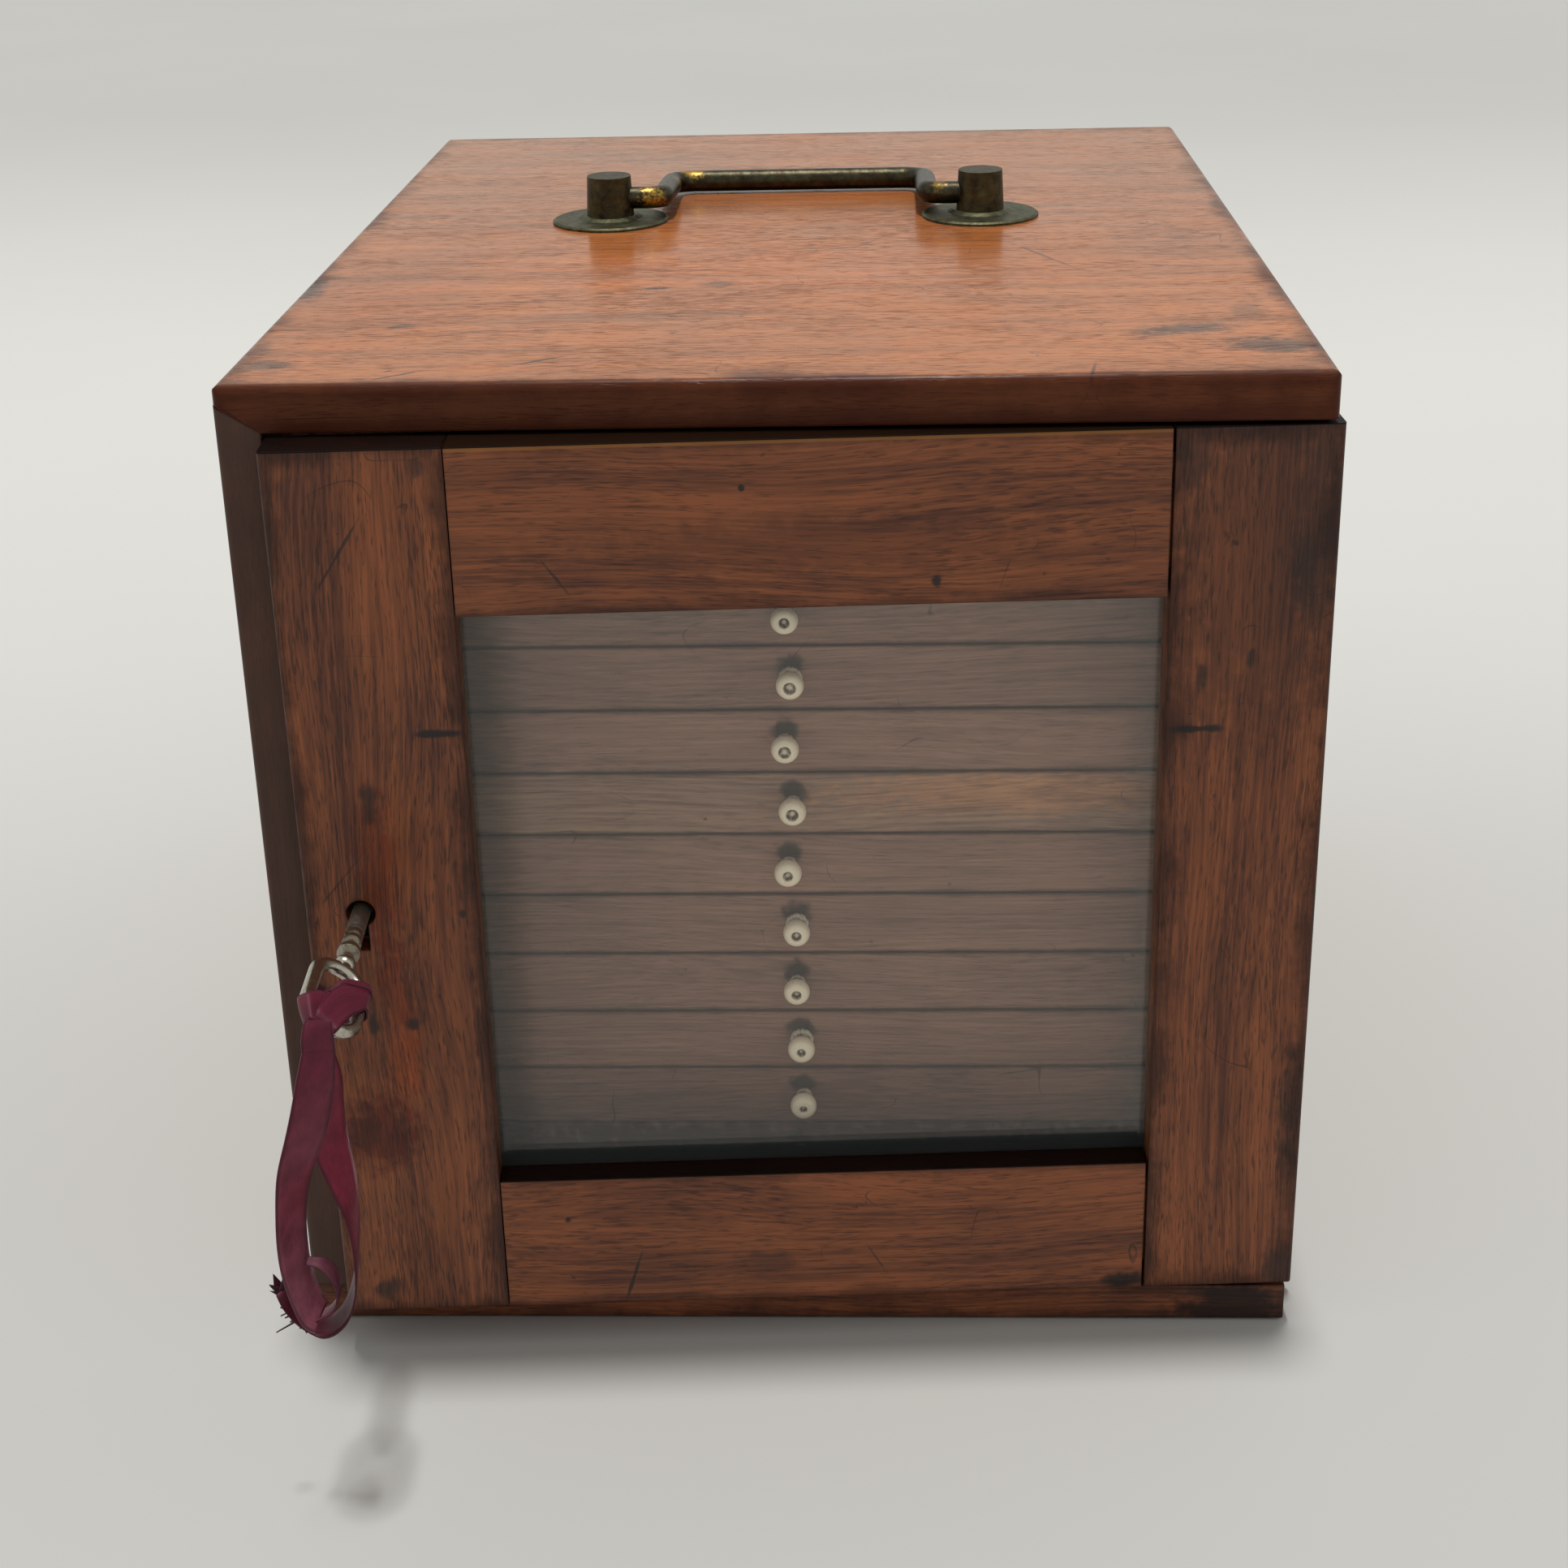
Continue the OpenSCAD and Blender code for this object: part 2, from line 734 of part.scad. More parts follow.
module door_screw_places() {
    for (z = hinge_z)
        for (dz = [-leaf_screw_dz, leaf_screw_dz])
            translate([leaf_screw_x, door_back_y, z + dz])
                rotate([-90, 0, 0])
                    children();
}

// The leaves on the side board carry the outer knuckles
module hinge_frame_leaves() {
    third = hinge_h / 6;
    color(brass)
        for (z = hinge_z) {
            difference() {
                block([pin_x - leaf_w, frame_y, z - hinge_h / 2], [pin_x, frame_y + leaf_t, z + hinge_h / 2]);
                translate([pin_x, pin_y, z - third])
                    cylinder(r = barrel_r + barrel_gap, h = 2 * third);
                for (end = [-1, 1])
                    translate([pin_x, pin_y, z + end * hinge_h / 3 - hinge_h / 6 - cut])
                        cylinder(r = knuckle_bore_r + 0.5, h = hinge_h / 3 + 2 * cut);
                frame_screw_places()
                    screw(frame_screw, fit);
            }
            knuckle(z - hinge_h / 2, z - third - knuckle_gap / 2);
            knuckle(z + third + knuckle_gap / 2, z + hinge_h / 2);
        }
}

// The leaves on the door carry the middle knuckles
module hinge_door_leaves() {
    third = hinge_h / 6;
    color(brass)
        on_door()
            for (z = hinge_z) {
                difference() {
                    block([pin_x - leaf_w, door_back_y - leaf_t, z - hinge_h / 2],
                        [pin_x, door_back_y, z + hinge_h / 2]);
                    translate([pin_x, pin_y, z - hinge_h / 2 - cut])
                        cylinder(r = barrel_r + barrel_gap, h = hinge_h / 2 - third + cut);
                    translate([pin_x, pin_y, z + third])
                        cylinder(r = barrel_r + barrel_gap, h = hinge_h / 2 - third + cut);
                    translate([pin_x, pin_y, z - third - cut])
                        cylinder(r = knuckle_bore_r + 0.5, h = 2 * third + 2 * cut);
                    door_screw_places()
                        screw(door_screw, fit);
                }
                knuckle(z - third + knuckle_gap / 2, z + third - knuckle_gap / 2);
            }
}

module hinge_pins() {
    color(brass)
        for (z = hinge_z)
            translate([pin_x, pin_y, z - hinge_h / 2 - 0.5]) {
                cylinder(r = pin_r, h = hinge_h + 0.6);
                translate([0, 0, hinge_h + 0.55])
                    cylinder(r1 = barrel_r * 0.8, r2 = barrel_r * 0.5, h = 0.7);
            }
}

module hinge_frame_screws() {
    color(brass)
        frame_screw_places()
            screw(frame_screw);
}

module hinge_door_screws() {
    color(brass)
        on_door()
            door_screw_places()
                screw(door_screw);
}

// A round hole with a slot under it, cut along Y between y0 and y1
module keyhole_cutter(r, slot_w, reach, y0, y1) {
    translate([key_x, y1, key_z])
        rotate([90, 0, 0]) {
            cylinder(r = r, h = y1 - y0);
            translate([-slot_w / 2, -reach, 0])
                cube([slot_w, reach, y1 - y0]);
        }
}

module lock_screw_places() {
    for (z = [key_z - 5, key_z + 9])
        translate([lock_x0 + lock_w + lock_flange / 2, lock_back_y, z])
            rotate([-90, 0, 0])
                children();
}

module lock_case() {
    color(brass)
        on_door()
            difference() {
                union() {
                    block([lock_x0, lock_front_y, lock_z0], [lock_x0 + lock_w, lock_back_y, lock_z1]);
                    block([lock_x0, cavity_y1, lock_z0 - 2],
                        [lock_x0 + lock_w + lock_flange, lock_back_y, lock_z1 + 2]);
                }
                block([lock_x0 + lock_plate_t, cavity_y0, cavity_z0],
                    [lock_x0 + lock_w - lock_plate_t, cavity_y1, cavity_z1]);
                block([lock_x0 - cut, cavity_y0, bolt_z0 - bolt_gap], [lock_x0 + 2, cavity_y1, cavity_z1]);
                keyhole_cutter(shank_r + 0.06, bit_t + 0.6, bit_len + 0.5,
                    lock_front_y - cut, cavity_y0 + 0.1);
                lock_screw_places()
                    screw(lock_screw, fit);
            }
}

module lock_bolt() {
    color(steel)
        on_door()
            difference() {
                block([door_x0 + 0.3, bolt_y0, bolt_z0], [door_x0 + 0.3 + bolt_len, bolt_y1, bolt_z1]);
                translate([key_x, bolt_y1 + cut, bolt_z0])
                    rotate([90, 0, 0])
                        cylinder(r = 2, h = bolt_y1 - bolt_y0 + 2 * cut);
            }
}

module lock_screws() {
    color(brass)
        on_door()
            lock_screw_places()
                screw(lock_screw);
}

// Room for the bolt in the left side board
module bolt_mortise() {
    block([-inner_x - mortise_depth, bolt_y0 - strike_hole_gap, bolt_z0 - strike_hole_gap],
        [-inner_x + cut, bolt_y1 + strike_hole_gap, bolt_z1 + strike_hole_gap]);
}

module strike_screw_places() {
    for (dz = [-1, 1])
        translate([-inner_x, strike_y, strike_z + dz * (strike_h / 2 - 3.5)])
            rotate([0, 90, 0])
                children();
}

module strike_plate() {
    color(brass)
        difference() {
            block([-inner_x - strike_t, strike_y - strike_w / 2, strike_z - strike_h / 2],
                [-inner_x, strike_y + strike_w / 2, strike_z + strike_h / 2]);
            bolt_mortise();
            strike_screw_places()
                screw(strike_screw, fit);
        }
}

module strike_screws() {
    color(brass)
        strike_screw_places()
            screw(strike_screw);
}

// The ring of the bow, lying in the x-z plane of the key
module bow_ring(bar_r) {
    translate([0, 0, bow_mid])
        rotate([90, 0, 0]) {
            for (end = [0, 180])
                rotate([0, 0, end])
                    translate([0, bow_straight / 2, 0])
                        rotate_extrude(angle = 180)
                            translate([bow_r, 0])
                                circle(r = bar_r);
            for (side = [-1, 1])
                translate([side * bow_r, -bow_straight / 2, 0])
                    rotate([-90, 0, 0])
                        cylinder(r = bar_r, h = bow_straight);
        }
}

module door_key() {
    shank_end = -(cavity_y1 - front_y) + 0.3;
    color(steel)
        on_key() {
            translate([0, 0, shank_end])
                cylinder(r = shank_r, h = barrel_out - shank_end);
            translate([0, 0, shank_end])
                cylinder(r = neck_r, h = shank_out - shank_end + bow_bar_r);
            for (collar = collars)
                translate([0, 0, collar[0] * shank_out - collar_t / 2])
                    cylinder(r = neck_r + collar[1], h = collar_t);
            translate([0, 0, shank_out - 1.4])
                sphere(r = neck_r + 0.7);
            rotate([0, 0, -bow_turn])
                bow_ring(bow_bar_r);
            translate([0, -bit_t / 2, bit_out - bit_w])
                cube([bit_len, bit_t, bit_w]);
        }
}

// The ribbon's loop, wound round the far end of the bow and turning with the key
module ribbon_loop() {
    color(burgundy)
        on_key()
            translate([0, 0, bow_mid])
                rotate([90, 0, -bow_turn])
                    translate([0, bow_straight / 2, 0])
                        rotate([0, 0, 75])
                            rotate_extrude(angle = 30)
                                translate([bow_r, 0])
                                    difference() {
                                        circle(r = bow_bar_r + loop_t);
                                        circle(r = bow_bar_r + 0.05);
                                    }
}

// Points of the ribbon's three runs at rest: x, y, z and the angle of its width from the door's plane.
// x and y start from the far end of the key's bow, and z is the height above the table.
left_run = [[-1, -3.75, 121, 0], [-1.3, -3.9, 117.5, 2], [-1.8, -4.3, 113.5, 8], [-3, -4.8, 107, 20],
    [-5.6, -4.6, 96.5, 28], [-8.8, -4, 86.5, 38], [-11, -3.2, 77, 50],
    [-12, -2.2, 66.5, 60], [-11.8, -1.2, 58, 66], [-10.8, -0.4, 50.5, 70], [-9.2, 0.4, 46, 70]];
right_run = [[-1.8, -3.9, 114, 30], [-2, -3.4, 110, 34], [-2.6, -2.4, 103, 39],
    [-3.1, -1, 94.5, 48], [-2.2, 0.6, 87, 60], [-0.6, 1.2, 79.5, 74], [0.6, 1, 72, 84],
    [0.8, 0.4, 63.5, 90], [-0.2, 0, 54, 84], [-3.1, 0, 45.6, 66], [-8, 0.4, 41, 42]];
curl_run = [[-10.1, 1.6, 43.7, 20], [-8, 1.4, 44.8, 35], [-5.6, 0.8, 46, 50], [-3.9, 0.2, 50.7, 62],
    [-4.1, -0.2, 56.1, 60], [-6.6, -0.6, 59.9, 45], [-9.5, -0.8, 61.2, 30]];
frayed_end = [-12.6, 2, 46.5];
frayed_r = 3.2;
run_steps = 4;

// Catmull-Rom point between p[i] and p[i + 1] at share t
function smooth(p, i, t) = let (
    a = p[max(i - 1, 0)],
    b = p[i],
    c = p[min(i + 1, len(p) - 1)],
    d = p[min(i + 2, len(p) - 1)])
    0.5 * ((2 * b) + (c - a) * t + (2 * a - 5 * b + 4 * c - d) * t * t + (3 * b - a - 3 * c + d) * t * t * t);
function smooth_run(p) = [
    for (i = [0 : len(p) - 2]) for (k = [0 : run_steps - 1]) smooth(p, i, k / run_steps),
    p[len(p) - 1]];
function unit(v) = v / norm(v);
function at(p, i) = [p[i].x, p[i].y, p[i].z];
// The four corners of the ribbon's section at point i
function section(p, i) = let (
    along = unit(at(p, min(i + 1, len(p) - 1)) - at(p, max(i - 1, 0))),
    across = unit(cross(cross(along, [cos(p[i][3]), sin(p[i][3]), 0]), along)),
    out = cross(along, across),
    w = across * ribbon_w / 2,
    t = out * ribbon_t / 2)
    [at(p, i) - w - t, at(p, i) + w - t, at(p, i) + w + t, at(p, i) - w + t];

// A flat strip carried along a run, as one closed body of triangles
module strip(run) {
    p = smooth_run(run);
    n = len(p);
    points = [for (i = [0 : n - 1]) for (q = section(p, i)) q];
    sides = [for (i = [0 : n - 2]) for (k = [0 : 3]) for (f = [0, 1])
        f == 0 ? [4 * i + k, 4 * (i + 1) + k, 4 * i + (k + 1) % 4]
               : [4 * i + (k + 1) % 4, 4 * (i + 1) + k, 4 * (i + 1) + (k + 1) % 4]];
    ends = [[0, 1, 2], [0, 2, 3], [4 * n - 4, 4 * n - 2, 4 * n - 3], [4 * n - 4, 4 * n - 1, 4 * n - 2]];
    polyhedron(points = points, faces = concat(sides, ends));
}

module ribbon() {
    across = key_x - pin_x;
    ahead = front_y - pin_y - knot_out;
    far_x = pin_x + across * cos(door_ajar) - ahead * sin(door_ajar);
    far_y = pin_y + across * sin(door_ajar) + ahead * cos(door_ajar);
    color(burgundy)
        translate([far_x, far_y, key_z - 119.5]) {
            strip(left_run);
            strip(right_run);
            strip(curl_run);
            translate(frayed_end)
                rotate([70, 0, 20])
                    cylinder(r1 = frayed_r, r2 = frayed_r * 0.7, h = frayed_r);
        }
}

// A low domed plate with a raised collar round the post
module rose() {
    r = rose_d / 2;
    rotate_extrude()
        polygon([[stud_d / 2 + fit, 0], [r, 0], [r, rose_rim_t * 0.6], [r - 0.6, rose_rim_t],
            [post_d / 2 + 3, rose_rim_t + 0.3], [post_d / 2 + 1.6, rose_hub_t],
            [stud_d / 2 + fit, rose_hub_t]]);
}

module handle_roses() {
    color(brass)
        for (side = [-1, 1])
            translate([side * handle_x, handle_y, top_z])
                rose();
}

module handle_posts() {
    color(brass)
        for (side = [-1, 1])
            translate([side * handle_x, handle_y, top_z])
                difference() {
                    union() {
                        translate([0, 0, rose_hub_t])
                            cylinder(r1 = post_d / 2 + 0.5, r2 = post_d / 2, h = post_h - rose_hub_t);
                        translate([0, 0, -stud_len])
                            cylinder(d = stud_d, h = stud_len + rose_hub_t);
                    }
                    translate([-side * (post_d / 2 - socket_depth), 0, pivot_h])
                        rotate([0, -side * 90, 0])
                            cylinder(r = rod_r + socket_gap, h = 2 * socket_depth);
                }
}

module handle_nuts() {
    color(brass)
        for (side = [-1, 1])
            translate([side * handle_x, handle_y, roof_z - nut_t])
                difference() {
                    cylinder(d = nut_w / cos(30), h = nut_t, $fn = 6);
                    translate([0, 0, -cut])
                        cylinder(d = stud_d + 2 * fit, h = nut_t + 2 * cut);
                }
}

// A quarter bend of the rod, from +X at the origin's right to +Y above it
module bend(r) {
    rotate_extrude(angle = 90)
        translate([r, 0])
            circle(r = rod_r);
}

module handle_bail() {
    color(brass)
        translate([0, handle_y, pivot_z])
            rotate([-rest_tilt, 0, 0]) {
                for (side = [0, 1])
                    mirror([side, 0, 0]) {
                        translate([arm_x + pivot_bend_r, 0, 0])
                            rotate([0, 90, 0])
                                cylinder(r = rod_r, h = stub_end_x - arm_x - pivot_bend_r);
                        translate([arm_x + pivot_bend_r, pivot_bend_r, 0])
                            rotate([0, 0, 180])
                                bend(pivot_bend_r);
                        translate([arm_x, pivot_bend_r, 0])
                            rotate([-90, 0, 0])
                                cylinder(r = rod_r, h = bail_drop - grip_bend_r - pivot_bend_r);
                        translate([grip_half, bail_drop - grip_bend_r, 0])
                            bend(grip_bend_r);
                    }
                translate([-grip_half, bail_drop, 0])
                    rotate([0, 90, 0])
                        cylinder(r = rod_r, h = 2 * grip_half);
            }
}

top_board();
bottom_board();
left_side();
right_side();
back_panel();
back_screws();
left_liner();
right_liner();
head_fillet();
lock_stile();
hinge_stile();
top_rail();
bottom_rail();
glass_pane();
glass_beads();
hinge_frame_leaves();
hinge_door_leaves();
hinge_pins();
hinge_frame_screws();
hinge_door_screws();
lock_case();
lock_bolt();
lock_screws();
strike_plate();
strike_screws();
door_key();
ribbon_loop();
ribbon();
handle_roses();
handle_posts();
handle_nuts();
handle_bail();
for (i = [0 : tray_count - 1]) {
    number = str(i + 1 < 10 ? "0" : "", i + 1);
    tray(i);
    knob(i);
}
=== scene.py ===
"""Table-top coin cabinet: finishes, turned knobs, felts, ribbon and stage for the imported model."""
import json
import math

import bmesh
import bpy
import numpy as np
from bpy.props import FloatProperty, FloatVectorProperty, IntProperty, PointerProperty
from mathutils import Matrix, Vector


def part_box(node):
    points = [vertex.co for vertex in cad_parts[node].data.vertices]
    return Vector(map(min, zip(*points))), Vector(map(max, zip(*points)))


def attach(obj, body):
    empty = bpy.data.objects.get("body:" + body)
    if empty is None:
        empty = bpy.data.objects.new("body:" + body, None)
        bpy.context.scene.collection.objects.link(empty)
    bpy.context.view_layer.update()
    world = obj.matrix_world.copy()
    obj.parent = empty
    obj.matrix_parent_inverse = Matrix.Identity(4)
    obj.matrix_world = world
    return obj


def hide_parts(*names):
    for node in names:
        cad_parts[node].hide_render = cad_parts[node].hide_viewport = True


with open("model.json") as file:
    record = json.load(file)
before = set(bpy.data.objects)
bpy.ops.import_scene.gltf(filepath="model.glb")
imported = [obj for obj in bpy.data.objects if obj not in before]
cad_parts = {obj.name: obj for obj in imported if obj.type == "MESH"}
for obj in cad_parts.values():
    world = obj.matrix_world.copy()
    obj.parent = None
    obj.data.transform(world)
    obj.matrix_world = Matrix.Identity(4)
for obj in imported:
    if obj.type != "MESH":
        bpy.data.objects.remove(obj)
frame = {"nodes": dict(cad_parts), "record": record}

bl_info = {
    "name": "Coin Cabinet",
    "version": (1, 0, 0),
    "blender": (4, 5, 0),
    "location": "View3D > Sidebar > Coin Cabinet",
    "description": "Dresses the coin cabinet with wood, brass, bone, glass, felt and ribbon",
    "category": "Object",
}

TRAYS = [f"{i:02d}" for i in range(1, 14)]
JOINTS = {j["name"]: j for j in frame["record"]["behaviour"]["joints"]}
SWING = -math.radians(JOINTS["door_swing"]["range_deg"][0])     # how far the door stands open at rest
PIN = np.array(JOINTS["door_swing"]["pos_m"])
# a point of the open door, turned by SHUT and then moved by SHUT_SHIFT, is where it is with the door shut
SHUT = np.array([[math.cos(SWING), math.sin(SWING), 0], [-math.sin(SWING), math.cos(SWING), 0], [0, 0, 1]])
SHUT_SHIFT = PIN - SHUT @ PIN
KEY = np.array(JOINTS["key_turn"]["pos_m"])
OUT = np.array(JOINTS["key_turn"]["axis"])                      # along the key, away from the door
SIDE = np.array([-OUT[1], OUT[0], 0.0])                         # across the key, to the right
UP = np.array([0.0, 0.0, 1.0])
BOW_TURN = math.radians(40)                                     # the resting bow is rolled, its right side down
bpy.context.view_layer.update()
# trays, in millimetres as in part.scad: recess diameters, wood between recesses, inner width, strips and floor
RECESSES = [38.0] * 4 + [31.0] * 5 + [25.0] * 4
LAND, TRAY_WIDTH, TRAY_FRONT, TRAY_BACK, TRAY_FLOOR = 3.0, 208.4, 5.0, 4.0, 3.0


def linear(code):
    """Turns an sRGB hex colour into linear red, green and blue."""
    parts = [int(code[i:i + 2], 16) / 255 for i in (1, 3, 5)]
    return tuple(c / 12.92 if c <= 0.04045 else ((c + 0.055) / 1.055) ** 2.4 for c in parts)


def colour(name, description, code):
    """A colour property whose default is an sRGB hex value."""
    return FloatVectorProperty(name=name, description=description, subtype="COLOR", size=3,
                               min=0, max=1, default=linear(code))


def length(name, description, millimetres):
    """A length property with its default in millimetres."""
    return FloatProperty(name=name, description=description, default=millimetres / 1000, min=0,
                         unit="LENGTH", subtype="DISTANCE", precision=4)


class WoodTones(bpy.types.PropertyGroup):
    """Colours of the old polished mahogany"""
    light: colour("Light", "Between the dark lines of the grain", "#985631")
    middle: colour("Middle", "The wood's usual tone", "#7C4528")
    dark: colour("Dark", "The dark lines of the grain", "#522A1B")
    pore: colour("Pores", "Wax and dirt in the open pores", "#26130F")
    grime: colour("Grime", "Old polish and dirt along the edges", "#2A1713")
    tray: colour("Trays", "Dull waxed mahogany of the trays", "#916A58")
    top: colour("Top", "The brighter, sun-bleached top board", "#B26834")


class KnobSizes(bpy.types.PropertyGroup):
    """Sizes of the turned bone knobs"""
    radius: length("Radius", "Radius of the head", 3.3)
    reach: length("Length", "How far a knob stands out of its tray", 7.0)
    dimple: length("Dimple", "Radius of the turned ring in the end", 1.05)
    segments: IntProperty(name="Segments", description="Faces round a knob", default=40, min=12, max=96)
    bone: colour("Bone", "Polished bone", "#FFEBD0")
    dirt: colour("Dirt", "Dirt in the turned grooves", "#4F3A24")


class RibbonSizes(bpy.types.PropertyGroup):
    """Sizes and colours of the satin ribbon"""
    width: length("Width", "Width of the ribbon", 10.2)
    thickness: length("Thickness", "Thickness of the ribbon", 0.35)
    satin: colour("Satin", "Colour of the satin where it has not faded", "#762236")


class FeltSizes(bpy.types.PropertyGroup):
    """Sizes and colour of the felts in the coin recesses"""
    thickness: length("Thickness", "Thickness of a felt disc", 0.8)
    gap: length("Gap", "Gap between a felt and the wall of its recess", 0.25)
    wool: colour("Wool", "Colour of the felt", "#3F5138")


class StageSizes(bpy.types.PropertyGroup):
    """Floor, light and camera"""
    floor_radius: FloatProperty(name="Floor radius", description="Radius of the pale floor", default=8,
                                min=2, unit="LENGTH", subtype="DISTANCE")
    floor: colour("Floor", "Pale floor", "#DBDAD4")
    sky: colour("Sky", "Background seen by the camera and in reflections", "#CFD0CA")
    sky_light: FloatProperty(name="Sky light", description="Strength of the even light", default=0.42, min=0)
    lamp: FloatProperty(name="Lamp", description="Strength of the soft lamp overhead", default=2.05, min=0)
    lens: FloatProperty(name="Lens", description="Focal length on a 36 mm sensor, in millimetres",
                        default=55.27, min=10)


# Materials

def fill(tree, made, links):
    """Fills a node's sockets with numbers, colours, hex codes or other nodes' outputs."""
    for name, value in links.items():
        if isinstance(value, str):
            value = linear(value)
        if isinstance(value, bpy.types.Node):
            value = value.outputs[0]
        if isinstance(value, bpy.types.NodeSocket):
            tree.links.new(value, made.inputs[name])
        elif made.inputs[name].type == "RGBA" and len(value) == 3:
            made.inputs[name].default_value = (*value, 1)
        else:
            made.inputs[name].default_value = value


def node(tree, kind, links=None, **settings):
    """Adds one shader node: settings are its own values, and links fills its sockets."""
    made = tree.nodes.new("ShaderNode" + kind)
    for name, value in settings.items():
        setattr(made, name, value)
    fill(tree, made, links or {})
    return made


def ramp(tree, value, *stops):
    """A colour ramp through stops of a place and a colour; the first two stops are its ends."""
    made = node(tree, "ValToRGB", {0: value})
    elements = made.color_ramp.elements
    for i, (place, tint) in enumerate(stops):
        stop = elements[i] if i < 2 else elements.new(place)
        stop.position = place
        stop.color = (*(linear(tint) if isinstance(tint, str) else tint), 1)
    return made.outputs["Color"]


def maths(tree, operation, *values):
    """A Math node."""
    return node(tree, "Math", dict(enumerate(values)), operation=operation)


def weighted(tree, total, *parts):
    """A number or a pattern plus other patterns, each times its weight."""
    for pattern, weight in parts:
        total = maths(tree, "MULTIPLY_ADD", pattern, weight, total)
    return total


def vectors(tree, operation, *values):
    """A Vector Math node."""
    return node(tree, "VectorMath", dict(enumerate(values)), operation=operation)


def scaled(tree, vector, factor):
    """A vector or a colour times a number."""
    return node(tree, "VectorMath", {0: vector, "Scale": factor}, operation="SCALE")


def split(tree, vector):
    """The three numbers of a vector."""
    return node(tree, "SeparateXYZ", {0: vector}).outputs


def noise(tree, place, scale, detail, roughness=0.5, distortion=0.0):
    """Noise whose coarsest patches are about one divided by scale across."""
    return node(tree, "TexNoise", {"Vector": place, "Scale": scale, "Detail": detail,
                                             "Roughness": roughness, "Distortion": distortion})


def grained(tree, grain, along, across, detail, roughness=0.5):
    """Noise drawn out along the grain: its patches are that many millimetres along and across."""
    place = vectors(tree, "MULTIPLY", grain, (1 / along, 1 / across, 1 / across))
    return noise(tree, place, 1.0, detail, roughness)


def spread(tree, value, start, end, low=0.0, high=1.0, soft=False):
    """Maps start to low and end to high, evenly or with soft ends, and holds both beyond."""
    return node(tree, "MapRange", {0: value, 1: start, 2: end, 3: low, 4: high},
                interpolation_type="SMOOTHSTEP" if soft else "LINEAR")


def blend(tree, factor, below, above, kind="MIX"):
    """One colour laid over another by a factor."""
    return node(tree, "Mix", {"Factor": factor, 6: below, 7: above}, data_type="RGBA",
                blend_type=kind).outputs[2]


def bump(tree, height, strength, depth):
    """A bump from a pattern of heights, its depth in metres."""
    return node(tree, "Bump", {"Strength": strength, "Distance": depth, "Height": height})


def mixed(tree, factor, first, second):
    """A mix of two shaders."""
    return node(tree, "MixShader", {0: factor, 1: first, 2: second})


def show(tree, shader):
    """Makes a shader the surface of its material."""
    fill(tree, next(n for n in tree.nodes if n.type == "OUTPUT_MATERIAL"), {"Surface": shader})


def from_faces(tree, place, lo, hi):
    """Distances in millimetres from the nearer face of a board along X, Y and Z."""
    centre, half = (lo + hi) / 2, (hi - lo) / 2
    away = vectors(tree, "SUBTRACT", place, tuple(centre))
    away = vectors(tree, "ABSOLUTE", away)
    return split(tree, vectors(tree, "SUBTRACT", tuple(half), away))


def from_spot(tree, place, spot, size, turn=(0, 0, 0)):
    """Distance from a spot, counted so that it is 1 on the ellipsoid of these half sizes, turned by degrees."""
    near = node(tree, "Mapping", {"Vector": place, "Location": spot, "Scale": size,
                                            "Rotation": tuple(math.radians(a) for a in turn)},
                vector_type="TEXTURE")
    return vectors(tree, "LENGTH", near).outputs["Value"]


def fresh(name, **settings):
    """An empty material with its Principled shader, whose sockets take the given uniform values."""
    material = bpy.data.materials.new(name)
    material.use_nodes = True
    tree = material.node_tree
    tree.nodes.clear()
    shader = node(tree, "BsdfPrincipled",
                  {key.replace("_", " "): value for key, value in settings.items()})
    node(tree, "OutputMaterial", {"Surface": shader})
    return material, tree, shader


def dress(material, *names):
    """Gives a material to CAD nodes or pieces."""
    for name in names:
        thing = frame["nodes"][name] if isinstance(name, str) else name
        if not thing.material_slots:
            thing.data.materials.append(material)
        for place in thing.material_slots:
            place.material = material


def board_box(name, on_door=False):
    """Lowest and highest corner of a board in millimetres, measured square to the board."""
    mesh = frame["nodes"][name].data
    points = np.empty(len(mesh.vertices) * 3)
    mesh.vertices.foreach_get("co", points)
    points = points.reshape(-1, 3)
    if on_door:
        points = points @ SHUT.T + SHUT_SHIFT
    return points.min(0) * 1000, points.max(0) * 1000


def millimetres(tree, on_door=False):
    """The piece's own coordinates in millimetres, turned back to the shut door for the door's pieces."""
    place = node(tree, "TexCoord").outputs["Object"]
    if on_door:
        place = node(tree, "Mapping", {"Vector": place, "Location": tuple(SHUT_SHIFT), "Rotation": (0, 0, -SWING)})
    return scaled(tree, place, 1000.0).outputs[0]


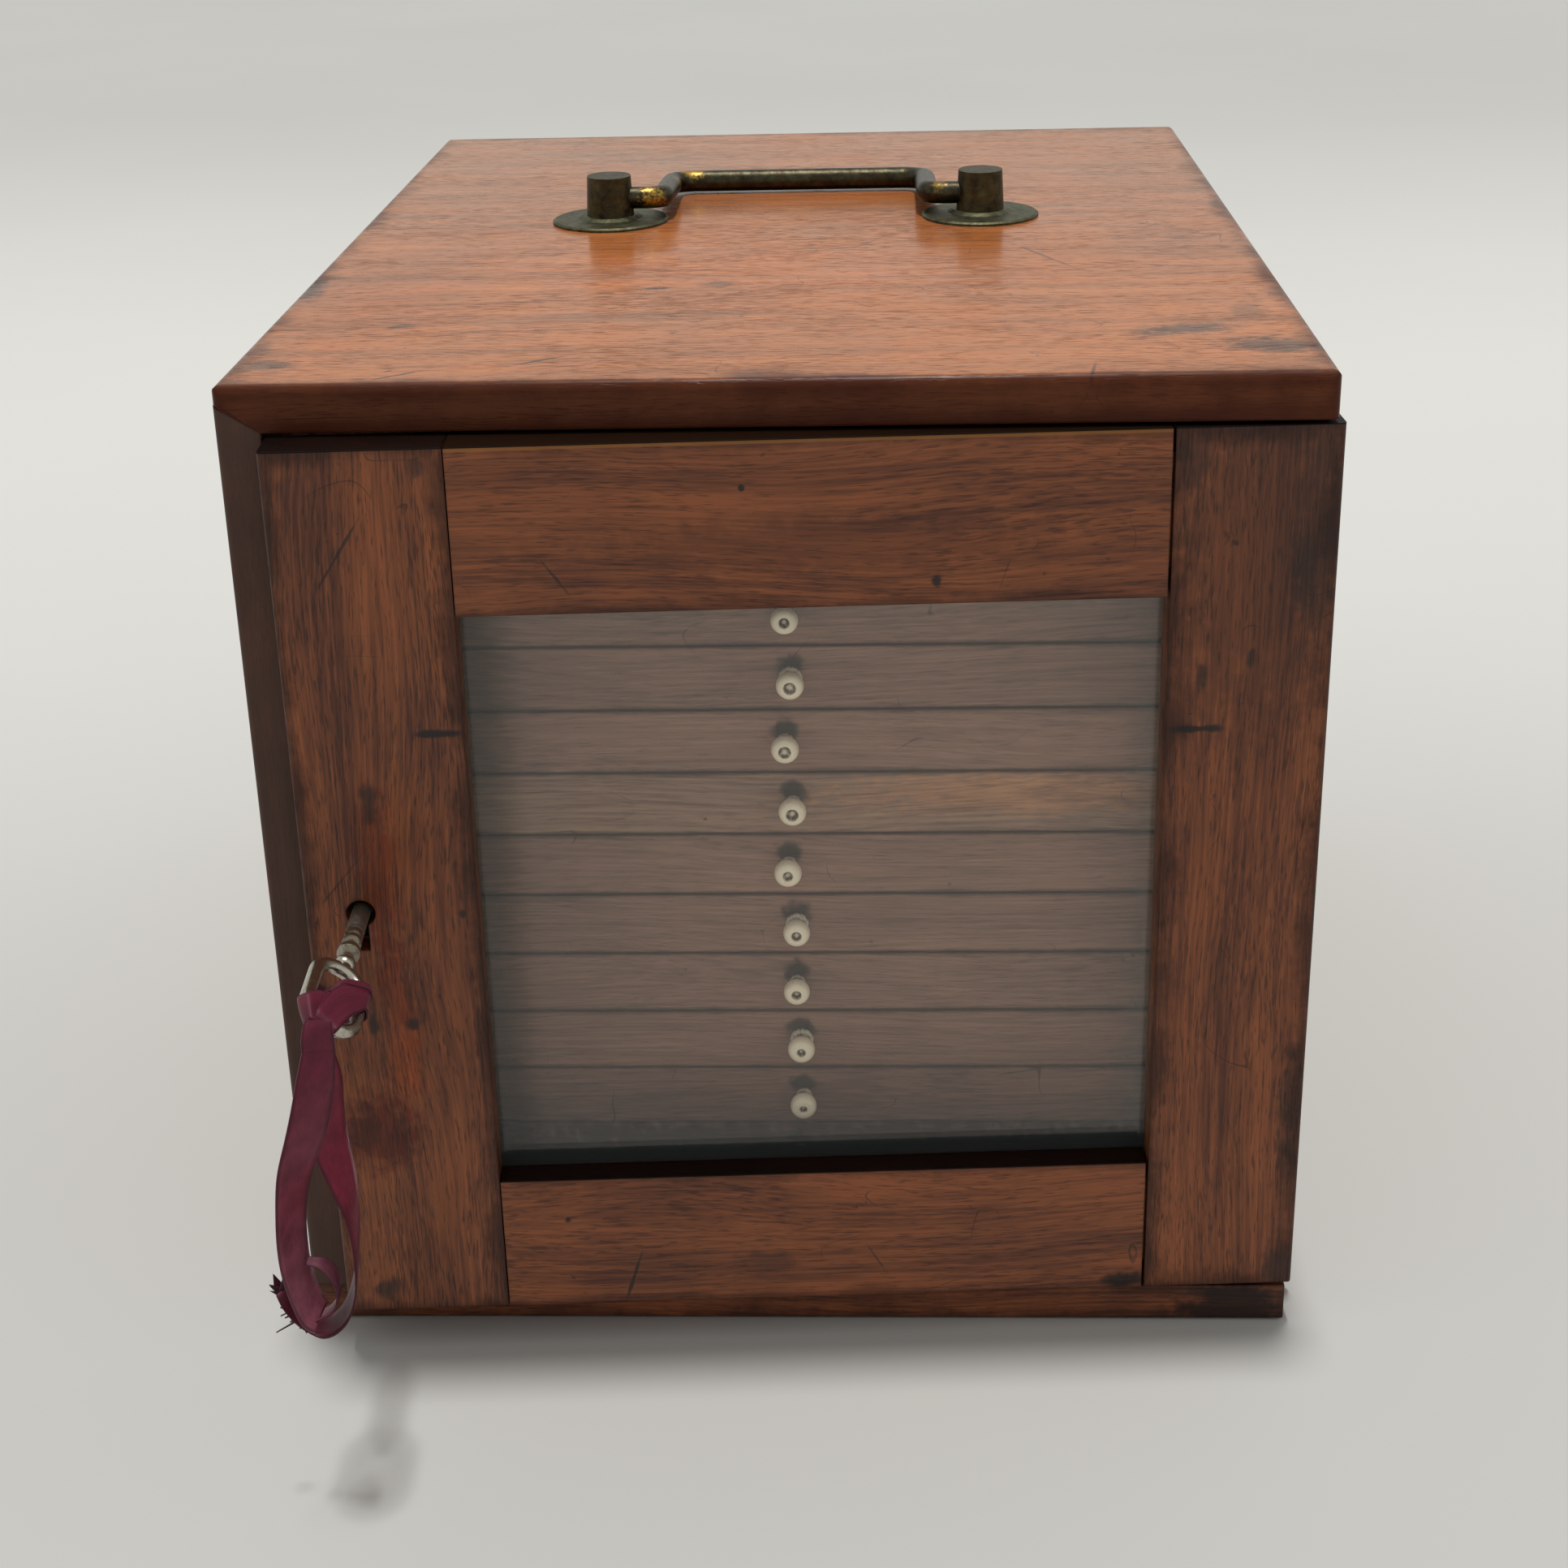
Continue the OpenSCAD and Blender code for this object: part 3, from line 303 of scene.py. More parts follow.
def mahogany(name, board, along, seed, tones, on_door=False, dirt=(9.0, 0.75), marks=(), polish=0.34,
             figure=1.0, pores=1.0, gloss=0.36, edges=(), lift=0.0):
    """Dresses a board in solid mahogany under old french polish: even red-brown with short dark pores along the
    grain, which runs along X, Y or Z; dirt has darkened the edges. Marks are ellipsoids of one colour, or, given three
    numbers, patches that multiply its colour: knocks and stains that soak into the grain, and on the trays painted
    shade, painted shadow and painted light. dirt is the width in millimetres and the strength of the darkening. edges
    are bands: an axis, where the band starts and where it is full, its colour and strength; on the top and the door
    some are painted shade, a painted highlight and a painted reflection. figure and pores scale the patterns, lift
    brightens, polish is the roughness, gloss the reflection."""
    material, tree, shader = fresh(name, IOR=1.5)
    place = millimetres(tree, on_door)
    lo, hi = board_box(board, on_door)
    axes = split(tree, place)
    order = {"X": (0, 1, 2), "Y": (1, 0, 2), "Z": (2, 0, 1)}[along]
    grain = node(tree, "CombineXYZ", {i: axes[k] for i, k in enumerate(order)})
    # each board is cut from another place in the log
    grain = vectors(tree, "ADD", grain, (seed * 131.7, seed * 57.3, seed * 23.9))
    # the grain wanders by a few millimetres over the length of a board
    wander = grained(tree, grain, 150, 40, 1.0).outputs["Color"]
    wander = vectors(tree, "SUBTRACT", wander, (0.5, 0.5, 0.5))
    wander = vectors(tree, "MULTIPLY", wander, (0, 16, 16))
    grain = vectors(tree, "ADD", grain, wander)
    # growth bands about 7 mm apart, fibres 0.8 mm wide and 32 mm long, and fading over tens of millimetres
    wide = grained(tree, grain, 190, 7, 3.0, 0.55)
    fine = grained(tree, grain, 32, 0.8, 2.0, 0.65)
    cloud = noise(tree, grain, 0.021, 3.0, 0.6)
    tone = weighted(tree, 0.5 - 0.35 * figure + lift, (wide, 0.7 * figure), (fine, 0.8), (cloud, 0.4))
    # the sum of the patterns lies between about 0.8 and 1.4, and the ramp works from 0 to 1
    tone = spread(tree, tone, 0.82, 1.38)
    wood = ramp(tree, tone, (0.12, tones["dark"]), (0.88, tones["light"]), (0.5, tones["middle"]))
    # pores: dashes about 5 mm by 0.4 mm, crowded in some bands
    dash = grained(tree, grain, 5.0, 0.4, 1.0)
    crowd = grained(tree, grain, 40, 10, 2.0)
    pore = spread(tree, weighted(tree, dash, (crowd, 0.35)), 0.71, 0.88, 0.0, 0.5 * pores, soft=True)
    tint = blend(tree, pore, wood, tones["pore"])
    # distance from the nearest edge: the middle one of the three distances from the board's faces
    sides = from_faces(tree, place, lo, hi)
    low = maths(tree, "MINIMUM", sides[0], sides[1])
    high = maths(tree, "MAXIMUM", sides[0], sides[1])
    edge = maths(tree, "MINIMUM", high, sides[2])
    edge = maths(tree, "MAXIMUM", edge, low)
    width, darkening = dirt
    patch = noise(tree, place, 0.045, 5.0, 0.65)
    ragged = weighted(tree, width * -1.6, (patch, width * 4.0))
    dirty = maths(tree, "SUBTRACT", edge, ragged)
    dirty = spread(tree, dirty, width * 0.9, -width * 0.5, 0.0, darkening, soft=True)
    tint = blend(tree, dirty, tint, tones["grime"])
    # thin old scratches: level lines of a slow noise, kept only here and there
    lines = noise(tree, place, 0.035, 1.0, distortion=0.6)
    lines = maths(tree, "COMPARE", lines, 0.53, 0.0016)
    some = noise(tree, place, 0.06, 1.0)
    some = spread(tree, some, 0.55, 0.62, 0.0, 0.55)
    lines = maths(tree, "MULTIPLY", lines, some)
    tint = blend(tree, lines, tint, tones["pore"])
    # specks of ink and dirt, a millimetre or two across
    specks = noise(tree, place, 0.16, 3.0, 0.7)
    specks = spread(tree, specks, 0.70, 0.76, 0.0, 0.7)
    tint = blend(tree, specks, tint, tones["grime"])
    # stains and knocks, and on the trays painted shade, painted shadow and painted light, each an ellipsoid with a
    # ragged rim
    rim = noise(tree, place, 0.3, 3.0)
    rim = weighted(tree, -0.75, (rim, 1.5))
    for spot, size, turn, code, strength in marks:
        near = maths(tree, "ADD", from_spot(tree, place, spot, size, turn), rim)
        near = spread(tree, near, 1.25, 0.45, 0.0, strength, soft=True)
        tint = blend(tree, near, tint, code, "MIX" if isinstance(code, str) else "MULTIPLY")
    shine = weighted(tree, gloss, (dirty, -0.3 * gloss))
    for axis, start, end, code, strength in edges:
        band = spread(tree, axes[axis], start, end, 0.0, strength)
        tint = blend(tree, band, tint, code)
        shine = maths(tree, "MULTIPLY", shine, weighted(tree, 1.0, (band, -0.75)))
    # polish worn uneven, dull in the pores and on the dirty edges
    dull = weighted(tree, polish - 0.175, (cloud, 0.35), (pore, 0.22), (dirty, 0.16))
    # heights in millimetres: pores and scratches sink by up to a tenth, and the surface waves slightly
    wave = noise(tree, place, 0.05, 2.0)
    height = weighted(tree, 0.0, (pore, -0.10), (wave, 0.5), (fine, 0.05), (lines, -0.1))
    relief = bump(tree, height, 0.5, 0.001)
    # arrises are rounded by handling
    fill(tree, relief, {"Normal": node(tree, "Bevel", {"Radius": 0.0009}, samples=4)})
    fill(tree, shader, {"Base Color": tint, "Specular IOR Level": shine, "Roughness": dull, "Normal": relief})
    dress(material, board)


def face_marks(axis, level, rows):
    """Marks on a board's face, which lies square to an axis at a level in millimetres. A row is a mark's place on
    the other two axes, its half sizes along X, Y and Z, its turn about the axis in degrees, colour and strength."""
    marks = []
    for first, second, wide, deep, high, turn, code, strength in rows:
        spot, turns = [first, second], [0, 0, 0]
        spot.insert(axis, level)
        turns[axis] = turn
        marks.append((spot, (wide, deep, high), turns, code, strength))
    return marks


def aged_brass(name, gold_spots=(), olive=0.35, rough=0.42, base="#463D2D", patina="#2A2620"):
    """Cast and turned brass gone brown and olive with age, rubbed back to gold where hands and wear reach it."""
    material, tree, shader = fresh(name, Metallic=1.0)
    place = millimetres(tree)
    cloud = noise(tree, place, 0.22, 5.0, 0.65)
    cloud = spread(tree, cloud, 0.30, 0.72)
    tint = blend(tree, cloud, patina, base)
    green = noise(tree, place, 0.5, 4.0)
    green = spread(tree, green, 0.42, 0.74, 0.0, olive)
    tint = blend(tree, green, tint, "#626650")
    grit = noise(tree, place, 1.1, 4.0, 0.7)
    for spot, size, strength in gold_spots:
        near = weighted(tree, from_spot(tree, place, spot, size), (grit, 1.6))
        near = spread(tree, near, 1.75, 1.35, 0.0, strength)
        tint = blend(tree, near, tint, "#C9A04A")
    dull = weighted(tree, rough - 0.15, (grit, 0.3))
    fill(tree, shader, {"Base Color": tint, "Roughness": dull, "Normal": bump(tree, grit, 0.35, 0.0003)})
    return material


def worn_steel(name, base="#8C877B", rust="#3E3228", rough=0.32, barrel=None):
    """Forged and filed steel, grey with brown specks of old rust. With a barrel length in millimetres the key's
    barrel, which stays in the lock, is dull and dark, and what stands out beyond it is polished by hands."""
    material, tree, shader = fresh(name, Metallic=1.0)
    place = millimetres(tree)
    spots = noise(tree, place, 0.9, 6.0, 0.7)
    share = spread(tree, spots, 0.50, 0.66, 0.0, 0.8)
    tint = blend(tree, share, base, rust)
    dull = weighted(tree, rough - 0.25, (spots, 0.5))
    if barrel is not None:
        out = vectors(tree, "DOT_PRODUCT", place, tuple(OUT)).outputs["Value"]
        start = float(KEY @ OUT) * 1000 + barrel
        inner = spread(tree, out, start + 0.4, start - 0.4)
        tint = blend(tree, inner, tint, "#8A8478")
        dull = weighted(tree, dull, (inner, 0.25))
    fill(tree, shader, {"Base Color": tint, "Roughness": dull, "Normal": bump(tree, spots, 0.3, 0.0002)})
    return material


def turned_bone(bone, dirt):
    """Turned and polished bone: cream, slightly waxy, with fine lengthwise streaks and dirt in the grooves,
    which each knob carries as the attribute dirt."""
    material, tree, shader = fresh("turned_bone", Subsurface_Weight=0.12, Subsurface_Scale=0.001, IOR=1.54)
    streak = vectors(tree, "MULTIPLY", millimetres(tree), (1.6, 0.35, 1.6))
    streak = noise(tree, streak, 1.0, 4.0)
    share = spread(tree, streak, 0.50, 0.72, 0.0, 0.5)
    tint = blend(tree, share, bone, "#E8D3AC")
    groove = node(tree, "Attribute", attribute_name="dirt", attribute_type="GEOMETRY").outputs["Fac"]
    groove = maths(tree, "MULTIPLY", streak, groove)
    groove = spread(tree, groove, 0.12, 0.5, 0.0, 0.95)
    tint = blend(tree, groove, tint, dirt)
    dull = spread(tree, streak, 0.3, 0.7, 0.26, 0.44)
    fill(tree, shader, {"Base Color": tint, "Roughness": dull, "Normal": bump(tree, streak, 0.25, 0.0002)})
    return material


def window_glass():
    """Old drawn window glass: clear, faintly green, with a thin film of dust that is thickest at the rim, and darker
    bands along the bottom and along the edge at the lock, both painted shade. Light reaches the trays through it by Is
    Shadow Ray and Is Diffuse Ray."""
    material, tree, shader = fresh("window_glass", Transmission_Weight=1.0, IOR=1.5, Roughness=0.0,
                                   Base_Color="#FDFFFD")
    place = millimetres(tree, True)
    lo, hi = board_box("glass_pane", True)
    # dust lies thickest along the rim of the pane
    sides = from_faces(tree, place, lo, hi)
    rim = maths(tree, "MINIMUM", sides[0], sides[2])
    dust = noise(tree, place, 0.09, 6.0, 0.7)
    rim = weighted(tree, rim, (dust, -16.0))
    film = spread(tree, rim, 4.0, -8.0, 0.02, 0.20, soft=True)
    powder = node(tree, "BsdfDiffuse", {"Color": "#7F8580"})
    # a dark band along the bottom of the pane, painted shade
    across, _, height = split(tree, place)
    height = weighted(tree, height, (dust, -3.0))
    line = spread(tree, height, 49.8, 48.2, 0.0, 0.8, soft=True)
    # a darker band along the edge at the lock, painted shade
    edge = spread(tree, across, float(lo[0]) + 17.0, float(lo[0]) + 6.0, 0.0, 0.24, soft=True)
    line = maths(tree, "MAXIMUM", line, edge)
    # the dark sheet that paints the shade of both bands
    shade_sheet = node(tree, "BsdfDiffuse", {"Color": "#2C3030"})
    clear = node(tree, "BsdfTransparent", {"Color": "#FEFFFD"})
    path = node(tree, "LightPath").outputs
    shadow = maths(tree, "MAXIMUM", path["Is Shadow Ray"], path["Is Diffuse Ray"])
    pane = mixed(tree, film, shader.outputs[0], powder)
    pane = mixed(tree, line, pane, shade_sheet)
    show(tree, mixed(tree, shadow, pane, clear))
    return material


def satin_ribbon(satin):
    """Woven satin ribbon of dyed silk: long floats across the width give a soft sheen, the two selvedges are tighter
    and darker, and the colour has faded unevenly; along its length painted sheen and painted shade are laid into the
    colour.
    It reads the ribbon's own UV map."""
    material, tree, shader = fresh("satin_ribbon", Sheen_Weight=0.15, Sheen_Roughness=0.35, Sheen_Tint="#D9A9B4",
                                   IOR=1.5, Specular_IOR_Level=0.2, Anisotropic=0.4)
    place = node(tree, "UVMap", uv_map="ribbon").outputs[0]
    across, along, _ = split(tree, place)
    # threads: 0.25 mm apart across the ribbon, as the UV map holds millimetres
    weave = vectors(tree, "MULTIPLY", place, (4.0, 0.35, 1.0))
    weave = noise(tree, weave, 1.0, 2.0)
    faded = noise(tree, place, 0.16, 3.0)
    share = weighted(tree, faded, (weave, 0.5))
    share = spread(tree, share, 0.55, 0.95)
    # along its length the colour runs from the dark knot through the front strand, paler and mauve towards its foot as
    # a painted sheen, to the crimson strand behind, darker at the foot of its loop as painted shade, and the mauve
    # curled end
    along = maths(tree, "MULTIPLY", along, 1 / COLOUR_LENGTH)
    dye_sheen_and_shade = ramp(tree, along, (0.0, "#5E2232"), (1.0, "#36101C"), (0.03, "#6C2438"), (0.15, "#77303F"),
               (0.22, "#90505F"), (0.32, "#90505F"), (0.33, satin), (0.48, satin), (0.56, "#4A1826"),
               (0.64, "#4A1826"), (0.66, "#73414E"), (0.94, "#73414E"))
    light = spread(tree, share, 0.0, 1.0, 0.68, 1.22)
    tint = scaled(tree, dye_sheen_and_shade, light).outputs[0]
    middle = maths(tree, "ABSOLUTE", across)
    selvedge = spread(tree, middle, 4.1, 4.7, 0.0, 0.55)
    tint = blend(tree, selvedge, tint, "#3A1526")
    dull = spread(tree, weave, 0.3, 0.7, 0.36, 0.52)
    fill(tree, shader, {"Base Color": tint, "Roughness": dull, "Normal": bump(tree, weave, 0.5, 0.0002)})
    # nearly clear to shadow rays, chosen for the photo's faint shadow: real satin lets far less light through
    thin = node(tree, "BsdfTransparent", {"Color": (0.982, 0.98, 0.98)})
    shadow = node(tree, "LightPath").outputs["Is Shadow Ray"]
    show(tree, mixed(tree, shadow, shader, thin))
    return material


def wool_felt(wool):
    """Die-cut wool felt: matt, with tangled fibres a few tenths of a millimetre long."""
    material, tree, shader = fresh("wool_felt", Roughness=0.95, Sheen_Weight=0.4, Sheen_Roughness=0.6,
                                   Sheen_Tint=wool, Specular_IOR_Level=0.15)
    hair = noise(tree, millimetres(tree), 2.2, 5.0, 0.75)
    share = spread(tree, hair, 0.35, 0.65)
    tint = blend(tree, share, tuple(c * 0.6 for c in wool), tuple(c * 1.3 for c in wool))
    fill(tree, shader, {"Base Color": tint, "Normal": bump(tree, hair, 0.8, 0.0004)})
    return material


# Meshes

def piece(name, points, faces, uv=None, dirt=None, smooth=True):
    """Makes an object at the origin from points in metres and faces; uv is one pair for each point, and dirt one
    number for each point. Points that fall together are merged, and without uv the faces are turned outwards."""
    mesh = bpy.data.meshes.new(name)
    mesh.from_pydata(points.reshape(-1, 3), [], faces.tolist())
    if uv is not None:
        corners = np.empty(len(mesh.loops), np.int32)
        mesh.loops.foreach_get("vertex_index", corners)
        layer = mesh.uv_layers.new(name="ribbon")
        layer.data.foreach_set("uv", uv.reshape(-1, 2)[corners].astype(np.float32).ravel())
    if dirt is not None:
        layer = mesh.attributes.new("dirt", "FLOAT", "POINT")
        layer.data.foreach_set("value", dirt.astype(np.float32).ravel())
    work = bmesh.new()
    work.from_mesh(mesh)
    bmesh.ops.remove_doubles(work, verts=work.verts, dist=1e-6)
    bmesh.ops.dissolve_degenerate(work, edges=work.edges, dist=1e-7)
    if uv is None:
        bmesh.ops.recalc_face_normals(work, faces=work.faces)
    work.to_mesh(mesh)
    work.free()
    mesh.polygons.foreach_set("use_smooth", np.full(len(mesh.polygons), smooth))
    mesh.validate()
    thing = bpy.data.objects.new(name, mesh)
    bpy.context.scene.collection.objects.link(thing)
    return thing


def grid_faces(rows, columns, closed=False, start=0):
    """Faces of a grid of points, each between four neighbours; closed rows join their end to their start."""
    r, c = np.meshgrid(np.arange(rows - 1), np.arange(columns - (not closed)), indexing="ij")
    r, c = r.ravel() * columns, c.ravel()
    below, right = r + columns, (c + 1) % columns
    return start + np.stack([r + c, r + right, below + right, below + c], 1)


def turned(profile, segments):
    """A profile of radius and height, spun about the height: x is radius times cosine of the angle, y is radius
    times its sine, z is height. Gives points by height and angle."""
    angle = np.linspace(0, 2 * math.pi, segments, endpoint=False)
    radius, height = profile[:, 0:1], profile[:, 1:2]
    return np.stack([radius * np.cos(angle), radius * np.sin(angle), height + 0 * angle], 2)


def eased(points, count):
    """A smooth path through points: a cubic between each pair, with slopes taken from the neighbours on both
    sides, read at count equal steps. Every column is smoothed alike."""
    points = np.asarray(points, float)
    slope = np.gradient(points, axis=0)
    at = np.linspace(0, len(points) - 1, count)
    i = np.clip(at.astype(int), 0, len(points) - 2)
    t = (at - i)[:, None]
    return ((2 * t**3 - 3 * t**2 + 1) * points[i] + (t**3 - 2 * t**2 + t) * slope[i]
            + (3 * t**2 - 2 * t**3) * points[i + 1] + (t**3 - t**2) * slope[i + 1])


def travelled(line):
    """Distance run along a line of points up to each of them."""
    return np.concatenate([[0], np.cumsum(np.linalg.norm(np.diff(line, axis=0), axis=1))])


def ribbon_uv(share, run):
    """The UV of a grid on the ribbon, in millimetres: across it, from shares between minus and plus a half, and
    along it, from the distance run."""
    return np.stack(np.broadcast_arrays(share[None, :] * UV_WIDTH, run[:, None]), 2)


def strip(route, columns=7, cup=0.0, ripple=0.0, count=70):
    """A ribbon carried along a route of x, y, z, angle of the width from the door's plane, and width, in
    millimetres. Each point is the route plus its share of the width across, bent back by cup times the square of
    that share, and along the edges by ripple times the sine of the distance run over RIPPLE_LENGTH. Gives points
    in metres, the UV in millimetres and the length of the route."""
    path = eased(route, count)
    line, angle, width = path[:, :3], np.radians(path[:, 3]), path[:, 4]
    ahead = np.gradient(line, axis=0)
    ahead /= np.linalg.norm(ahead, axis=1)[:, None]
    flat = np.stack([np.cos(angle), np.sin(angle), 0 * angle], 1)
    across = flat - (flat * ahead).sum(1)[:, None] * ahead
    across /= np.linalg.norm(across, axis=1)[:, None]
    out = np.cross(ahead, across)
    share = np.linspace(-0.5, 0.5, columns)
    run = travelled(line)
    bend = cup * (4 * share**2 - 0.5)[None, :] + ripple * np.sin(run / RIPPLE_LENGTH)[:, None] * share[None, :] * 2
    points = (line[:, None] + across[:, None] * (share[None, :] * width[:, None])[..., None]
              + out[:, None] * bend[..., None])
    return points / 1000, ribbon_uv(share, run), run[-1] / 1000


def cloth(name, grids, maps, thickness):
    """A piece of cloth of several grids of points with their UVs, thickened by as much to both sides."""
    faces, start = [], 0
    for grid in grids:
        faces.append(grid_faces(*grid.shape[:2], start=start))
        start += grid.shape[0] * grid.shape[1]
    made = piece(name, np.concatenate([grid.reshape(-1, 3) for grid in grids]), np.concatenate(faces),
                 np.concatenate([uv.reshape(-1, 2) for uv in maps]))
    solid = made.modifiers.new("cloth thickness", "SOLIDIFY")
    solid.thickness = thickness
    solid.offset = 0
    return made


# The knobs: radius and length of the shank in metres, and the head's profile as shares of the knob's radius and
# length, with the dirt in its grooves

SHANK = (0.0014, 0.0035)
HEAD = [(0.60, 0.22, 0.9), (0.48, 0.28, 1), (0.46, 0.36, 1), (0.55, 0.43, 0.8), (0.80, 0.49, 0.3), (0.95, 0.57, 0),
        (1, 0.68, 0), (0.98, 0.80, 0), (0.88, 0.91, 0), (0.70, 0.97, 0.05), (0.52, 0.99, 0.15)]

# The boards: their materials' first words, and their marks as rows for face_marks

POLISHED = "french_polished_mahogany_"
BLUE, INK, RUST = "#241B1C", "#1D1718", (0.76, 0.50, 0.36)
MITRE_MARK = ((-114.6, -155, 232.6), (0.3, 2, 7.2), (0, -52, 0), "#0D0706", 0.95)
TOP_MARKS = [
    (-16.5, -65.4, 5, 4, 3, 20, BLUE, 0.55), (-118, -63, 4, 14, 3, 10, BLUE, 0.75),
    (91.5, -117, 13, 5, 3, 10, BLUE, 0.7), (108.9, -132.5, 12, 7, 3, -10, BLUE, 0.7),
    (108, -100, 5, 9, 3, -10, BLUE, 0.4), (-111, -138, 6, 5, 3, 0, BLUE, 0.6),
    (-52.2, -137.5, 7, 0.8, 3, 35, BLUE, 0.85), (65, -39, 0.6, 17, 3, 25, BLUE, 0.6),
    (-88, -104, 3.2, 2, 3, 20, BLUE, 0.7), (20, -20, 0.5, 12, 3, -30, BLUE, 0.4),
    (-82, -148.5, 7, 0.6, 3, 35, BLUE, 0.85), (-32, -69, 5, 1.6, 3, 0, BLUE, 0.75),
    (68, -152, 0.5, 6, 3, -10, BLUE, 0.7),
    # the polish is darker along the left edge and paler in the middle
    (-100, -72, 26, 66, 5, 0, (0.86, 0.80, 0.74), 0.75), (-6, -52, 70, 34, 5, 0, (1.14, 1.06, 0.98), 0.7)]
LOCK_STILE_MARKS = [
    (-92, 128, 5, 4, 24, 0, RUST, 0.9), (-90.8, 100, 4.5, 4, 16, -4, RUST, 0.95),
    (-89.6, 81, 4.5, 4, 13, 0, (1.1, 0.78, 0.50), 0.9), (-97, 61.5, 10, 4, 11.5, 0, (0.54, 0.26, 0.17), 0.97),
    (-101, 63, 3.6, 4, 7, 10, (0.6, 0.5, 0.5), 0.8), (-94, 56, 3, 4, 6, 0, (0.8, 0.7, 0.7), 0.8),
    (-87.4, 90.4, 2, 3, 1.6, 0, INK, 0.85), (-96.4, 90.8, 1.1, 3, 3, 0, INK, 0.8),
    (-73.8, 118.8, 0.9, 3, 1.1, 0, INK, 0.8), (-92.4, 147, 2, 3, 5, 0, INK, 0.7), (-99, 17, 4.2, 3, 3.6, 0, INK, 0.7),
    (-75.4, 163.4, 6.2, 3, 1, 0, INK, 0.95), (-94.6, 205, 0.35, 3, 12, 33, INK, 0.75),
    (-76, 224.5, 2.6, 3, 2.2, 0, INK, 0.6), (-100.5, 128, 0.3, 3, 10, 40, INK, 0.6)]
HINGE_STILE_MARKS = [
    (91.8, 159.4, 6.6, 3, 1, 0, INK, 0.95), (113, 196, 3, 3, 9, 0, INK, 0.55), (117, 210, 6, 4, 30, 0, INK, 0.45),
    (104, 200, 24, 4, 45, 0, "#2A1713", 0.4), (92, 171.6, 1.4, 3, 3.4, 0, INK, 0.65),
    (103, 176, 0.8, 3, 2.6, 10, INK, 0.7), (118, 60, 3, 3, 22, 0, INK, 0.45), (118, 16, 5, 3, 6, 0, INK, 0.6),
    (88, 222, 3.5, 3, 9, 0, INK, 0.4)]
TOP_RAIL_MARKS = [
    (-7.5, 218.1, 0.8, 3, 0.9, 0, INK, 0.95), (34.1, 195.9, 1.1, 3, 1.5, 0, INK, 0.9),
    (-48, 199, 0.4, 3, 5, -35, INK, 0.7), (10, 205, 60, 4, 6.5, 0, "#4A2414", 0.4)]
BOTTOM_RAIL_MARKS = [
    (-54.5, 35.4, 0.8, 3, 0.9, 0, INK, 0.9), (80, 13.5, 5.5, 3, 2.2, 0, "#15100F", 0.9),
    (-39.4, 18.5, 0.5, 3, 7, 18, INK, 0.85), (-6.2, 21.6, 8, 3, 3.4, 0, INK, 0.5),
    (19.4, 22, 0.3, 3, 6, -30, INK, 0.6)]

# The ribbon: a route is x and y from the far end of the bow, height, angle of the width from the door's plane in
# degrees, and share of the full width

FRONT = [
    (-0.9, -3.7, 120.5, 12, 0.5), (-0.9, -3.9, 117.2, 16, 0.62), (-1.8, -4.4, 112, 26, 0.74), (-3, -4.8, 106, 36, 0.9),
    (-5.6, -4.7, 96, 42, 1), (-9, -4.1, 86, 53, 1), (-11.2, -3.2, 75, 62, 1), (-12, -2.2, 65, 70, 1),
    (-11.6, -1.2, 56, 72, 1), (-10.2, -0.4, 49.2, 72, 1), (-8.4, 0.6, 45.4, 70, 0.8)]
BEHIND = [
    (-1.2, -3.2, 119, 14, 0.5), (-1.3, -2.6, 114.5, 22, 0.56), (-1.7, -0.6, 109.5, 32, 0.7), (-2.3, 1.8, 103, 40, 0.85),
    (-3.2, 3.2, 94.6, 50, 1), (-2.4, 4.2, 85.5, 64, 1), (-0.8, 4.2, 78, 74, 1), (0.5, 3.6, 70.8, 88, 1),
    (0.8, 2.8, 62.5, 97, 1), (-0.2, 2, 53.3, 100, 1), (-2.9, 1.6, 46, 100, 0.9), (-7.4, 1.8, 42, 96, 0.8),
    (-12, 2.2, 43.2, 84, 0.6), (-15.2, 2.4, 47.2, 66, 0.45), (-16.6, 2.4, 51.4, 56, 0.4)]
CURL = [
    (-9.4, 1.6, 44.8, 60, 0.6), (-7.4, 1.6, 45.8, 70, 0.65), (-5.2, 1.4, 48, 86, 0.65), (-3.7, 1, 52, 92, 0.6),
    (-4.2, 0.6, 56.6, 90, 0.5), (-6.6, 0.2, 59.8, 80, 0.36), (-9.8, 0, 60.8, 70, 0.24)]
FLAP = [
    (-0.6, -3.5, 122.6, 12, 0.52), (-0.7, -4.5, 121.2, 12, 0.6), (-0.8, -5.1, 119, 14, 0.66),
    (-0.9, -5.2, 116.6, 16, 0.66)]
# each strand's route, where its colours start along the ribbon in millimetres, its cup and its ripple; the flap is the
# knot's last turn, which hangs over the top of the front strand and the one behind
STRANDS = ((FRONT, 0, 0.3, 0.2), (BEHIND, 100, -0.25, 0.15), (CURL, 200, 0.2, 0.1), (FLAP, 0, 0.3, 0))
COLOUR_LENGTH = 300        # the ribbon's colours, dye with painted sheen and shade, are spread over this length of the UV map, in millimetres
UV_WIDTH = 10           # width of the ribbon in its UV map
RIPPLE_LENGTH = 4.1     # length of the edges' ripple over two pi, in millimetres
BOW_END = 0.0494        # from the keyhole to the far end of the bow's centre line, in metres
